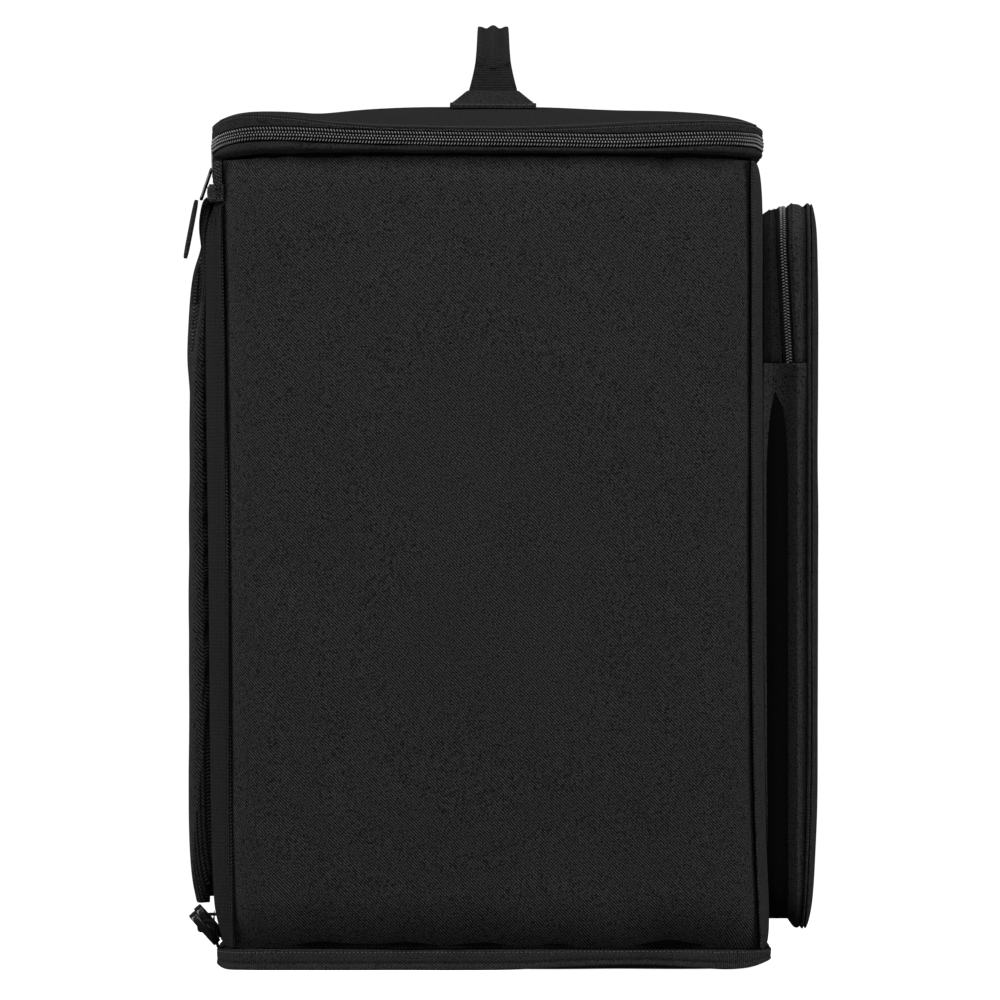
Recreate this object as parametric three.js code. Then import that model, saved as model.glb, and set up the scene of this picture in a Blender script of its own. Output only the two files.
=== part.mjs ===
// A padded backpack for carrying a portable speaker, zipped shut and standing on its base.
// Millimetres. +Z is up, +X points at the front pocket, -X at the wearer's back, and the two
// side panels face -Y (near) and +Y (far). The origin is under the middle of the whole bag.
import * as THREE from 'three';

// Driving dimensions of the body
const bodyDepth = 264.4; // a side panel at the top, from its back edge to the front seam
const bodyWidth = 315; // over both side panels
const panelHeight = 396.9; // a side panel, from the base band to the lid
const seamGap = 0.3; // between pieces that are sewn together
const sidePad = 8; // thickness of a padded side panel
const frontPad = 6.3; // thickness of the padded front panel
const backPad = 6.4; // thickness of the mesh-faced pad on the back
const meshSwell = 3.2; // how far the middle of the mesh pad swells past its edges
const backCloth = 4; // thickness of the back panel behind that pad
const padCrown = 1.6; // how much a padded panel stands proud in the middle
const padRoll = 3.2; // how far the edge of a padded panel turns in
const padRollWidth = 13; // how wide that turned edge is
const seamDip = 1.5; // how far a side panel dips into its upright seams
const seamDipWidth = 5;
const seamCloth = 1.2; // thickness of a padded panel at its upright seams
const bodyRadius = 26; // plan corner of the body

// Driving dimensions of the base
const baseBandHeight = 10.2;
const baseBandCloth = 3;
const baseReachBack = 3.2; // the band past the side panels' upper back edge
const baseReachFront = 4.5; // the band past the front panel's upper face
const baseRadius = 26; // plan corner of the base band
const floorEdgeRise = 6; // how far the padded floor's lower edge is rounded up
const floorEdgeWidth = 16;

// Driving dimensions of the lid and its zip
const lidRise = 27.2; // the middle of the lid over the side panels
const lidReachBack = 5.5; // the lid past the side panels' back edge
const lidReachFront = 0.3; // the lid past the front panel
const lidRadius = 28; // plan corner of the lid
const lidCloth = 3; // lid side band
const lidPad = 4; // lid top
const zipHeight = 6.8; // height of the zip's tape and coil
const zipCloth = 2.2;
const zipSetBack = 0.5; // the zip lies this far behind the bands beside it
const rollDepth = 6; // the padded roll under the zip
const rollBulge = 0.4;
const hingeWidth = 180; // cloth between the two ends of the zip, on the back
const hingeDrop = 13.4; // how far the hinge reaches down from the side panels' top
const zipRunOut = 24; // on the back, the stretch in which the zip turns down
const zipEndLift = 2.5; // the zip's ends over the hinge's foot
const rollTuck = 2; // how much thinner the roll is where it is sewn on

// Driving dimensions of the handle
const handleSpan = 112; // between the middles of the two ends
const handleRise = 39.4; // the grip's top over the patches
const handleGripWidth = 16;
const handleEndWidth = 27.5;
const handleGripPad = 6.5;
const handleEndPad = 2.4;
const handlePlace = 0.51; // along the lid, from the back
const patchWidth = 43.5;
const patchLength = 40;
const patchCloth = 1.6;

// Driving dimensions of the harness
const harnessReach = 21.9; // the pull tab past the side panels' back edge
const padTopDrop = 24.5; // the mesh pad's top edge below the side panels' top
const anchorHeight = 9; // sewn strip that holds the straps' upper ends
const anchorCloth = 3.6;
const anchorLift = 1.2; // over the mesh pad's top edge
const strapReach = 17.6; // a strap's outer face past the side panels' back edge
const strapBridge = 5.8; // its inner face past that edge, where it bridges the pad's low foot
const strapWidth = 62;
const strapEndHeight = 40; // over the floor
const strapTopPlace = 68; // from the middle of the bag to the strap's own middle
const strapEndPlace = 100;
const webWidth = 25;
const webCloth = 1.4;
const buckleWidth = 34;
const buckleHeight = 20;
const bucklePlate = 4;
const buckleBar = 3;
const buckleTopBar = 4;
const buckleWall = 3.4;
const buckleCorner = 2;
const buckleOut = 13.6; // the buckle's outer face past the side panels' back edge

// Driving dimensions of the front pocket
const pocketDepth = 28.6;
const pocketWidth = 265;
const pocketBottom = 19.5;
const pocketTop = 384.7;
const pocketRadius = 22;
const pocketCloth = 2;
const pocketZipEnd = 304; // height at which the pocket's zip stops, on both sides
const pocketFrontPad = 4;
const pocketCrown = 0.9;
const pipingSize = 2.2;

// Driving dimensions of the sliders and pulls
const sliderWidth = 8;
const sliderLength = 10;
const sliderPlate = 3;
const wireSize = 1.4;
const wireLoopWidth = 6;
const wireLoopDrop = 15;
const tabWidth = 8;
const tabCloth = 2.6;
const tabLength = 30;
const tabLean = 0.19; // radians, away from the back as it hangs

// Places that follow from them
const halfWidth = bodyWidth / 2;
const totalDepth = harnessReach + bodyDepth + frontPad + pocketDepth;
const bodyBack = harnessReach - totalDepth / 2;
const bodyFront = bodyBack + bodyDepth;
const panelFoot = baseBandHeight + seamGap;
const panelTop = panelFoot + panelHeight;
const frontFace = bodyFront + frontPad;
const pocketFace = frontFace + pocketDepth;
const lidBack = bodyBack - lidReachBack;
const lidFront = frontFace + lidReachFront;
const padTop = panelTop - padTopDrop;
const hingeFoot = panelTop - hingeDrop;
const zipEndPlace = hingeWidth / 2;

// Side panel's outline: up is a share of the panel's height, back and front how far the edge
// stands forward of the upper corner, as shares of the body's depth
const sideOutline = [
  { up: 0.0, back: 0.019, front: 0.0174 },
  { up: 0.03, back: 0.0185, front: 0.0155 },
  { up: 0.055, back: 0.0175, front: 0.0125 },
  { up: 0.115, back: 0.015, front: 0.008 },
  { up: 0.215, back: 0.0135, front: 0.0035 },
  { up: 0.44, back: 0.0125, front: 0.0 },
  { up: 0.717, back: 0.0075, front: 0.0 },
  { up: 1.0, back: 0.0, front: 0.0 },
];

// Upper edge of a side panel: along is a share of its depth, drop a share of the panel's height
const sideTopEdge = [
  { along: 0.0, drop: 0.0062 },
  { along: 0.03, drop: 0.004 },
  { along: 0.09, drop: 0.0012 },
  { along: 0.3, drop: 0.0 },
  { along: 0.74, drop: 0.0004 },
  { along: 0.81, drop: 0.0016 },
  { along: 0.88, drop: 0.0006 },
  { along: 0.96, drop: 0.003 },
  { along: 1.0, drop: 0.006 },
];

// Lid, seen from the side: along is a share of its depth; seam is the sewn edge, crown the top in
// the middle of the bag and zip the zip's middle, each over the panels' top as shares of the rise
const lidProfile = [
  { along: 0, seam: 0.540, crown: 0.549, zip: 0.180 },
  { along: 0.011, seam: 0.649, crown: 0.678, zip: 0.270 },
  { along: 0.038, seam: 0.739, crown: 0.823, zip: 0.360 },
  { along: 0.07, seam: 0.766, crown: 0.882, zip: 0.405 },
  { along: 0.119, seam: 0.739, crown: 0.900, zip: 0.419 },
  { along: 0.156, seam: 0.703, crown: 0.895, zip: 0.405 },
  { along: 0.19, seam: 0.640, crown: 0.827, zip: 0.387 },
  { along: 0.242, seam: 0.590, crown: 0.904, zip: 0.360 },
  { along: 0.306, seam: 0.549, crown: 0.973, zip: 0.338 },
  { along: 0.43, seam: 0.518, crown: 0.996, zip: 0.315 },
  { along: 0.58, seam: 0.509, crown: 0.986, zip: 0.302 },
  { along: 0.689, seam: 0.549, crown: 0.945, zip: 0.279 },
  { along: 0.743, seam: 0.581, crown: 0.932, zip: 0.275 },
  { along: 0.81, seam: 0.613, crown: 0.918, zip: 0.297 },
  { along: 0.89, seam: 0.640, crown: 0.854, zip: 0.324 },
  { along: 0.951, seam: 0.631, crown: 0.766, zip: 0.320 },
  { along: 0.987, seam: 0.567, crown: 0.627, zip: 0.288 },
  { along: 1, seam: 0.468, crown: 0.477, zip: 0.216 },
];

// Lower edge of the base band: along is a share of its depth, lift a share of its height
const bandLift = [
  { along: 0.0, lift: 0.3 },
  { along: 0.012, lift: 0.0 },
  { along: 0.52, lift: 0.0 },
  { along: 0.6, lift: 0.12 },
  { along: 0.68, lift: 0.24 },
  { along: 0.78, lift: 0.29 },
  { along: 0.86, lift: 0.14 },
  { along: 0.92, lift: 0.02 },
  { along: 0.96, lift: 0.1 },
  { along: 0.985, lift: 0.32 },
  { along: 1.0, lift: 0.55 },
];

// Shoulder straps from the anchor down: down is a share of the run, out a share of the reach,
// aside a share of the way to the lower place, wide a share of the width
const nearStrap = [
  { down: 0.0, out: 0.51, aside: 0.0, wide: 0.86 },
  { down: 0.014, out: 0.69, aside: 0.0, wide: 0.96 },
  { down: 0.04, out: 0.71, aside: 0.01, wide: 1.0 },
  { down: 0.063, out: 0.645, aside: 0.02, wide: 1.0 },
  { down: 0.1, out: 0.635, aside: 0.03, wide: 1.0 },
  { down: 0.133, out: 0.645, aside: 0.05, wide: 1.0 },
  { down: 0.196, out: 0.805, aside: 0.09, wide: 1.0 },
  { down: 0.246, out: 0.975, aside: 0.14, wide: 1.0 },
  { down: 0.29, out: 1.0, aside: 0.2, wide: 1.0 },
  { down: 0.5, out: 1.0, aside: 0.5, wide: 0.98 },
  { down: 0.75, out: 1.0, aside: 0.84, wide: 0.9 },
  { down: 0.915, out: 1.0, aside: 0.98, wide: 0.72 },
  { down: 0.962, out: 0.91, aside: 1.0, wide: 0.6 },
  { down: 0.99, out: 0.805, aside: 1.0, wide: 0.52 },
  { down: 1.0, out: 0.765, aside: 1.0, wide: 0.48 },
];
const farStrap = [
  { down: 0.0, out: 0.5, aside: 0.0, wide: 0.86 },
  { down: 0.02, out: 0.67, aside: 0.0, wide: 0.98 },
  { down: 0.06, out: 0.72, aside: 0.02, wide: 1.0 },
  { down: 0.088, out: 0.95, aside: 0.03, wide: 1.0 },
  { down: 0.115, out: 1.05, aside: 0.04, wide: 1.0 },
  { down: 0.16, out: 1.12, aside: 0.07, wide: 1.0 },
  { down: 0.21, out: 1.17, aside: 0.11, wide: 1.0 },
  { down: 0.24, out: 1.16, aside: 0.14, wide: 1.0 },
  { down: 0.27, out: 1.09, aside: 0.18, wide: 1.0 },
  { down: 0.5, out: 1.085, aside: 0.5, wide: 0.98 },
  { down: 0.75, out: 1.08, aside: 0.84, wide: 0.9 },
  { down: 0.915, out: 1.06, aside: 0.98, wide: 0.72 },
  { down: 0.962, out: 0.93, aside: 1.0, wide: 0.6 },
  { down: 0.99, out: 0.8, aside: 1.0, wide: 0.52 },
  { down: 1.0, out: 0.76, aside: 1.0, wide: 0.48 },
];

// Front pocket, seen from the side: up is a share of its height, front how far its face stands
// back and depth is a share of the pocket's depth
const pocketLean = [
  { up: 0.0, front: 0.13 },
  { up: 0.02, front: 0.11 },
  { up: 0.06, front: 0.07 },
  { up: 0.2, front: 0.0 },
  { up: 0.93, front: 0.0 },
  { up: 1.0, front: 0.02 },
];

// Pocket strips, from the front panel to the pocket's padded face: from and to are shares of that
// way, sink how far the strip's two edges lie inside the pocket's outline, as shares of the cloth
const pocketInnerStrip = { from: 0.0, to: 0.27, sinkFrom: 2.1, sinkTo: 1.2 };
const pocketZipStrip = { from: 0.27, to: 0.52, sinkFrom: 1.1, sinkTo: 0.6 };
const pocketOuterStrip = { from: 0.52, to: 0.905, sinkFrom: 0.25, sinkTo: 0.25 };
const pocketPipingStrip = { from: 0.905, to: 1.0 };

// Valley and ridge of the pocket's lower side strip: depth is a share of the same way and sink
// a share of the cloth's thickness
const pocketFold = [
  { depth: 0.0, sink: 1.2 },
  { depth: 0.23, sink: 2.2 },
  { depth: 0.485, sink: 1.7 },
  { depth: 0.69, sink: 0.2 },
  { depth: 0.905, sink: 0.4 },
];

// Materials
function cloth(colour, roughness) {
  return new THREE.MeshStandardMaterial({ color: colour, roughness, metalness: 0 });
}
const twill = cloth(0x232323, 0.85);
const airMesh = cloth(0x181818, 0.95);
const webbing = cloth(0x202020, 0.8);
const coil = cloth(0x3a3a3a, 0.4);
const plastic = cloth(0x101010, 0.3);
const metal = new THREE.MeshStandardMaterial({ color: 0x6e6e6e, roughness: 0.35, metalness: 1 });

// Numbers from tables
function look(rows, by, at, column) {
  const last = rows.length - 1;
  if (at <= rows[0][by]) return rows[0][column];
  for (let k = 0; k < last; k += 1) {
    const low = rows[k];
    const high = rows[k + 1];
    if (at <= high[by]) {
      const share = (at - low[by]) / (high[by] - low[by]);
      return low[column] + (high[column] - low[column]) * share;
    }
  }
  return rows[last][column];
}
function spread(from, to, steps) {
  return Array.from({ length: steps + 1 }, (_, k) => from + ((to - from) * k) / steps);
}
function lerp(from, to, share) {
  return from + (to - from) * share;
}

// Closed meshes
function closedMesh(points, faces) {
  const a = new THREE.Vector3();
  let volume = 0;
  for (const [i, j, k] of faces) {
    volume += points[i].dot(a.crossVectors(points[j], points[k]));
  }
  const index = volume > 0 ? faces.flat() : faces.flatMap(([i, j, k]) => [i, k, j]);
  const geometry = new THREE.BufferGeometry();
  const places = points.flatMap((p) => [p.x, p.y, p.z]);
  geometry.setAttribute('position', new THREE.Float32BufferAttribute(places, 3));
  geometry.setIndex(index);
  geometry.computeVertexNormals();
  return geometry;
}

// A solid between two sheets: outer and inner give a corner for each pair of stops
function slab(uStops, vStops, outer, inner) {
  const points = [];
  const columns = vStops.length;
  for (const sheet of [outer, inner]) {
    for (const u of uStops) {
      for (const v of vStops) points.push(sheet(u, v));
    }
  }
  const half = uStops.length * columns;
  const faces = [];
  const quad = (a, b, c, d) => faces.push([a, b, c], [a, c, d]);
  for (let i = 0; i < uStops.length - 1; i += 1) {
    for (let j = 0; j < columns - 1; j += 1) {
      const a = i * columns + j;
      quad(a, a + columns, a + columns + 1, a + 1);
      quad(half + a, half + a + 1, half + a + columns + 1, half + a + columns);
    }
  }
  const border = [];
  for (let j = 0; j < columns - 1; j += 1) border.push(j);
  for (let i = 0; i < uStops.length - 1; i += 1) border.push(i * columns + columns - 1);
  for (let j = columns - 1; j > 0; j -= 1) border.push((uStops.length - 1) * columns + j);
  for (let i = uStops.length - 1; i > 0; i -= 1) border.push(i * columns);
  border.forEach((a, k) => {
    const b = border[(k + 1) % border.length];
    quad(a, b, half + b, half + a);
  });
  return closedMesh(points, faces);
}

// A solid swept along stations: each has a place, an outward and an across direction, and its
// section is a list of [outward, across] corners
function sweep(stations, sectionAt, closed) {
  const sections = stations.map((station, k) => sectionAt(station, k));
  const size = sections[0].length;
  const points = stations.flatMap((station, k) => sections[k].map(([out, across]) =>
    station.at.clone().addScaledVector(station.out, out).addScaledVector(station.across, across)));
  const faces = [];
  const count = stations.length;
  for (let i = 0; i < (closed ? count : count - 1); i += 1) {
    const next = (i + 1) % count;
    for (let j = 0; j < size; j += 1) {
      const right = (j + 1) % size;
      const corners = [i * size + j, i * size + right, next * size + right, next * size + j];
      faces.push([corners[0], corners[1], corners[2]], [corners[0], corners[2], corners[3]]);
    }
  }
  if (!closed) {
    const outlineOf = (k) => sections[k].map(([u, v]) => new THREE.Vector2(u, v));
    const cap = (k) => THREE.ShapeUtils.triangulateShape(outlineOf(k), []);
    const turned = THREE.ShapeUtils.area(outlineOf(0)) < 0;
    const first = (count - 1) * size;
    for (const [a, b, c] of cap(0)) faces.push(turned ? [a, b, c] : [a, c, b]);
    for (const [a, b, c] of cap(count - 1)) {
      faces.push(turned ? [first + a, first + c, first + b] : [first + a, first + b, first + c]);
    }
  }
  return closedMesh(points, faces);
}

// Half of a rounded rectangle, as places and normals: a runs from low to high, b from 0 to -half.
// The stops say where stations lie on the low side, the long side and the high side.
function halfLoop({ low, high, half, radius, lowStops, sideStops, highStops, cornerSteps }) {
  const path = [];
  for (const b of lowStops) path.push({ a: low, b: -b, na: -1, nb: 0 });
  for (const turn of spread(0, Math.PI / 2, cornerSteps)) {
    const na = -Math.cos(turn);
    const nb = -Math.sin(turn);
    path.push({ a: low + radius + radius * na, b: -half + radius + radius * nb, na, nb });
  }
  for (const a of sideStops) path.push({ a, b: -half, na: 0, nb: -1 });
  for (const turn of spread(0, Math.PI / 2, cornerSteps)) {
    const na = Math.sin(turn);
    const nb = -Math.cos(turn);
    path.push({ a: high - radius + radius * na, b: -half + radius + radius * nb, na, nb });
  }
  for (const b of highStops) path.push({ a: high, b: -b, na: 1, nb: 0 });
  return path;
}
function mirrored(path) {
  return path.map((p) => ({ ...p, b: -p.b, nb: -p.nb }));
}
function wholeLoop(half) {
  return [...half, ...mirrored(half.slice(1, -1).reverse())];
}
function flatStations(path) {
  return path.map((p) => ({
    at: new THREE.Vector3(p.a, p.b, 0),
    out: new THREE.Vector3(p.na, p.nb, 0),
    across: new THREE.Vector3(0, 0, 1),
  }));
}
function uprightStations(path) {
  return path.map((p) => ({
    at: new THREE.Vector3(0, p.b, p.a),
    out: new THREE.Vector3(0, p.nb, p.na),
    across: new THREE.Vector3(1, 0, 0),
  }));
}

// Edges that pieces share
function sideBackEdge(z) {
  return bodyBack + bodyDepth * look(sideOutline, 'up', (z - panelFoot) / panelHeight, 'back');
}
function sideFrontEdge(z) {
  return bodyFront + bodyDepth * look(sideOutline, 'up', (z - panelFoot) / panelHeight, 'front');
}
function frontFaceAt(z) {
  return sideFrontEdge(z) + frontPad;
}
function panelTopAt(x) {
  return panelTop - panelHeight * look(sideTopEdge, 'along', (x - bodyBack) / bodyDepth, 'drop');
}
function lidHeight(x, column) {
  return panelTop + lidRise * look(lidProfile, 'along', (x - lidBack) / (lidFront - lidBack), column);
}

// How far the body's rounded corner falls back, for a distance to the face round the corner
function cornerDrop(distance) {
  const short = Math.max(0, bodyRadius - distance);
  return bodyRadius - Math.sqrt(bodyRadius * bodyRadius - short * short);
}
const backReach = halfWidth - cornerDrop(backPad + seamGap);
const frontReach = halfWidth - cornerDrop(frontPad);

// How far the face of a padded panel turns in near an edge, for a distance to that edge
function edgeTurn(distance) {
  const near = Math.max(0, 1 - distance / padRollWidth);
  return padRoll * near * near;
}
function seamTurn(distance) {
  return seamDip * Math.max(0, 1 - distance / seamDipWidth);
}
const upStops = [0, 0.012, 0.045, 0.12, 0.26, 0.42, 0.58, 0.74, 0.88, 0.955, 0.988, 1];
const roundStops = [0, 0.012, 0.03, 0.055, 0.085, 0.17, 0.33, 0.5, 0.67, 0.83, 0.915, 0.945, 0.97, 0.988, 1];

// Padded panels
function sidePanel(side) {
  const place = (u, v, out) => {
    const footToTop = panelTopAt(lerp(bodyBack, bodyFront, u)) - panelFoot;
    const z = panelFoot + footToTop * v;
    const x = lerp(sideBackEdge(z), sideFrontEdge(z), u);
    return new THREE.Vector3(x, side * out, z);
  };
  const corners = (u) => {
    const toFront = (1 - u) * bodyDepth + frontPad;
    const toBack = u * bodyDepth + backPad + seamGap;
    return cornerDrop(toFront) + cornerDrop(toBack);
  };
  const outer = (u, v) => {
    const crown = padCrown * (1 - (1 - (2 * u - 1) ** 2) * (1 - (2 * v - 1) ** 2));
    const across = Math.min(u, 1 - u) * bodyDepth;
    const up = Math.min(v, 1 - v) * panelHeight;
    return place(u, v, halfWidth - corners(u) - crown - seamTurn(across) - edgeTurn(up));
  };
  return slab(roundStops, upStops, outer, (u, v) => place(u, v, halfWidth - corners(u) - sidePad));
}

// A padded panel across the front or the back, as thick as its pad between the rounded corners.
// The swell is how much further its middle stands out.
function crossThickness({ reach, pad, swell, top }, y, z) {
  const up = Math.min(z - panelFoot, top - z);
  const thick = pad - cornerDrop(halfWidth - Math.abs(y)) - edgeTurn(up);
  const middle = (panelFoot + top) / 2;
  const proud = (1 - (y / reach) ** 4) * (1 - ((z - middle) / (top - middle)) ** 4);
  return seamGap + Math.max(seamCloth, thick) + swell * proud;
}
function crossPanel(panel, pointAt) {
  const { reach, top } = panel;
  const outer = (u, v) => {
    const y = lerp(-reach, reach, u);
    const z = lerp(panelFoot, top, v);
    return pointAt(crossThickness(panel, y, z), y, z);
  };
  const inner = (u, v) => pointAt(seamGap, lerp(-reach, reach, u), lerp(panelFoot, top, v));
  return slab(roundStops, upStops, outer, inner);
}
function frontPanel() {
  const top = panelTop - panelHeight * sideTopEdge.at(-1).drop;
  const pointAt = (out, y, z) => new THREE.Vector3(sideFrontEdge(z) + out, y, z);
  return crossPanel({ reach: frontReach, pad: frontPad - seamGap, swell: 0, top }, pointAt);
}
const meshPanel = { reach: backReach, pad: backPad, swell: meshSwell, top: padTop };
function meshPad() {
  return crossPanel(meshPanel, (out, y, z) => new THREE.Vector3(sideBackEdge(z) - out, y, z));
}

// The back panel lies behind the mesh pad and steps out over the pad's top edge
function backPanel() {
  const inside = backReach - sidePad - seamGap;
  const outside = backReach;
  const stepOut = padTop + seamGap;
  const cornerTop = panelTopAt(bodyBack);
  const hollowFrom = zipEndPlace / outside;
  const hollowTo = (zipEndPlace + zipRunOut) / outside;
  const topAt = (across) => {
    const share = (Math.abs(across) - hollowFrom) / (hollowTo - hollowFrom);
    return lerp(hingeFoot, cornerTop, THREE.MathUtils.clamp(share, 0, 1));
  };
  const rows = [
    { z: panelFoot, out: -seamGap, reach: inside, rise: 0 },
    { z: (panelFoot + stepOut) / 2, out: -seamGap, reach: inside, rise: 0 },
    { z: stepOut - seamGap, out: -seamGap, reach: inside, rise: 0 },
    { z: stepOut + 1, out: backCloth + seamGap, reach: inside, rise: 0 },
    { z: stepOut + 1.2, out: backCloth + seamGap, reach: outside, rise: 0 },
    { z: stepOut + 1.2, out: backCloth + seamGap, reach: outside, rise: 0.5 },
    { z: stepOut + 1.2, out: backCloth + seamGap, reach: outside, rise: 1 },
  ];
  const backStops = [-1, -0.92, -hollowTo, -hollowFrom, -0.3, 0.3, hollowFrom, hollowTo, 0.92, 1];
  const place = (row, across, into) => {
    const z = lerp(row.z, topAt(across), row.rise);
    return new THREE.Vector3(sideBackEdge(z) - row.out + into, across * row.reach, z);
  };
  const outer = (row, across) => place(row, across, 0);
  const inner = (row, across) => place(row, across, backCloth);
  return slab(rows, backStops, outer, inner);
}

// Base
const baseBack = bodyBack - baseReachBack;
const baseFront = frontFace + baseReachFront;
function baseLoop() {
  const sideStops = spread(baseBack + baseRadius, baseFront - baseRadius, 18).slice(1, -1);
  return halfLoop({
    low: baseBack, high: baseFront, half: halfWidth, radius: baseRadius,
    lowStops: [0, halfWidth / 2], sideStops, highStops: [halfWidth / 2, 0], cornerSteps: 5,
  });
}
function baseBand() {
  const along = (x) => (x - baseBack) / (baseFront - baseBack);
  const lift = (x) => baseBandHeight * look(bandLift, 'along', along(x), 'lift');
  return sweep(flatStations(wholeLoop(baseLoop())), ({ at }) => [
    [0, baseBandHeight], [-baseBandCloth, baseBandHeight], [-baseBandCloth, lift(at.x)], [0, lift(at.x)],
  ], true);
}

// A plate over a rounded rectangle, between two heights that may change from place to place.
// The stops run along a from low to high and across b from -1 to 1.
function plate({ low, high, half, radius, aStops, bStops, outer, inner, toPoint }) {
  const halfAt = (a) => {
    const toEnd = Math.min(a - low, high - a);
    const short = Math.max(0, radius - toEnd);
    return half - radius + Math.sqrt(Math.max(0, radius * radius - short * short));
  };
  const stops = aStops.map((share) => lerp(low, high, share));
  const sheet = (height) => (a, t) => {
    const b = t * halfAt(a);
    return toPoint(a, b, height(a, b, t, Math.min(a - low, high - a)));
  };
  return slab(stops, bStops, sheet(outer), sheet(inner));
}
const roundedStops = [0, 0.008, 0.03, 0.06, 0.1, 0.2, 0.35, 0.5, 0.65, 0.8, 0.9, 0.94, 0.97, 0.992, 1];
const acrossStops = [-1, -0.96, -0.88, -0.7, -0.4, 0, 0.4, 0.7, 0.88, 0.96, 1];

function floorPanel() {
  const inset = baseBandCloth + seamGap;
  const half = halfWidth - inset;
  const rise = (a, b, t, toEnd) => {
    const near = Math.max(0, 1 - Math.min(toEnd, half * (1 - Math.abs(t))) / floorEdgeWidth);
    return floorEdgeRise * near * near;
  };
  return plate({
    low: baseBack + inset, high: baseFront - inset, half, radius: baseRadius - inset,
    aStops: roundedStops, bStops: acrossStops, outer: rise, inner: () => baseBandHeight,
    toPoint: (a, b, z) => new THREE.Vector3(a, b, z),
  });
}

// Lid: its loop is fine along the sides, and has stations at the ends of the zip on the back
function lidLoop(withHinge) {
  const hingeStops = [0, zipEndPlace / 2, zipEndPlace - 4 * seamGap, zipEndPlace - 2 * seamGap];
  const zipStops = spread(zipEndPlace, zipEndPlace + zipRunOut, 3);
  const sideStops = spread(lidBack + lidRadius, lidFront - lidRadius, 16).slice(1, -1);
  return halfLoop({
    low: lidBack, high: lidFront, half: halfWidth, radius: lidRadius, cornerSteps: 6,
    lowStops: withHinge ? [...hingeStops, ...zipStops] : zipStops, sideStops, highStops: [halfWidth / 2, 0],
  });
}
// On the back the zip leaves the lid's edge and turns down towards its end
function zipMiddle(at) {
  const high = lidHeight(at.x, 'zip');
  if (at.x > lidBack + lidCloth) return high;
  const share = Math.min(1, Math.max(0, (Math.abs(at.y) - zipEndPlace) / zipRunOut));
  return lerp(hingeFoot + zipHeight / 2 + zipEndLift, high, share);
}
function bodyTopAt(at) {
  if (at.x > lidBack + lidCloth) return panelTopAt(at.x);
  const share = Math.min(1, Math.max(0, (Math.abs(at.y) - zipEndPlace) / zipRunOut));
  return lerp(hingeFoot, panelTopAt(bodyBack), share);
}
function lidGusset() {
  return sweep(flatStations(wholeLoop(lidLoop(true))), ({ at }) => {
    const top = lidHeight(at.x, 'seam');
    const overZip = zipMiddle(at) + zipHeight / 2 + seamGap;
    const onHinge = at.x < lidBack + lidCloth && Math.abs(at.y) < zipEndPlace - 3 * seamGap;
    const foot = onHinge ? hingeFoot + seamGap : overZip;
    return [[0, foot], [0, top], [-lidCloth, top], [-lidCloth, foot]];
  }, true);
}
function openLidPath() {
  const half = lidLoop(false);
  return [...half, ...mirrored(half.slice(0, -1).reverse())];
}
function lidZip() {
  return sweep(flatStations(openLidPath()), ({ at }) => {
    const middle = zipMiddle(at);
    const foot = middle - zipHeight / 2;
    const top = middle + zipHeight / 2;
    const inside = -zipSetBack - zipCloth;
    return [[-zipSetBack, foot], [-zipSetBack, top], [inside, top], [inside, foot]];
  }, false);
}
function zipRoll() {
  return sweep(flatStations(openLidPath()), ({ at }) => {
    const top = zipMiddle(at) - zipHeight / 2 - seamGap;
    const foot = bodyTopAt(at) + 2 * seamGap;
    const middle = (top + foot) / 2;
    return [
      [-rollTuck / 2, foot], [0, middle], [-rollBulge, top],
      [-rollDepth + rollTuck, top], [-rollDepth, middle], [-rollDepth + rollTuck / 2, foot],
    ];
  }, false);
}
function lidTopAt(x, y) {
  const half = halfWidth - lidCloth;
  const across = Math.min(1, Math.abs(y) / half);
  return lerp(lidHeight(x, 'seam'), lidHeight(x, 'crown'), 1 - across ** 2.5);
}
const lidStops = [
  0, 0.01, 0.03, 0.06, 0.1, 0.145, 0.18, 0.235, 0.3, 0.42, 0.58, 0.69, 0.75, 0.82, 0.9, 0.94, 0.97, 0.99, 1,
];
function lidTop() {
  const inset = lidCloth + seamGap;
  return plate({
    low: lidBack + inset, high: lidFront - inset, half: halfWidth - inset, radius: lidRadius - inset,
    aStops: lidStops, bStops: acrossStops,
    outer: (a, b) => lidTopAt(a, b), inner: (a, b) => lidTopAt(a, b) - lidPad,
    toPoint: (a, b, z) => new THREE.Vector3(a, b, z),
  });
}

// Handle: a loop of webbing that is folded to a grip in the middle, on two sewn patches
const handleX = lerp(lidBack, lidFront, handlePlace);
const handleFoot = handleSpan / 2;
function handlePatch(side) {
  const stops = spread(-0.5, 0.5, 4);
  const place = (u, v, over) => {
    const x = handleX + u * patchWidth;
    const y = side * (handleFoot + v * patchLength);
    return new THREE.Vector3(x, y, lidTopAt(x, y) + over);
  };
  return slab(stops, stops, (u, v) => place(u, v, seamGap + patchCloth), (u, v) => place(u, v, seamGap));
}
const patchTop = lidTopAt(handleX, handleFoot) + seamGap + patchCloth;
const gripTop = patchTop + handleRise;
// Ridges of the folded grip: across is a share of the width, lift a share of the thickness
const gripSection = [
  { across: -0.5, lift: -0.2 }, { across: -0.5, lift: 0.3 }, { across: -0.33, lift: 0.5 },
  { across: -0.17, lift: 0.38 }, { across: 0.0, lift: 0.5 }, { across: 0.17, lift: 0.38 },
  { across: 0.33, lift: 0.5 }, { across: 0.5, lift: 0.3 }, { across: 0.5, lift: -0.2 },
  { across: 0.0, lift: -0.5 },
];
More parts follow.
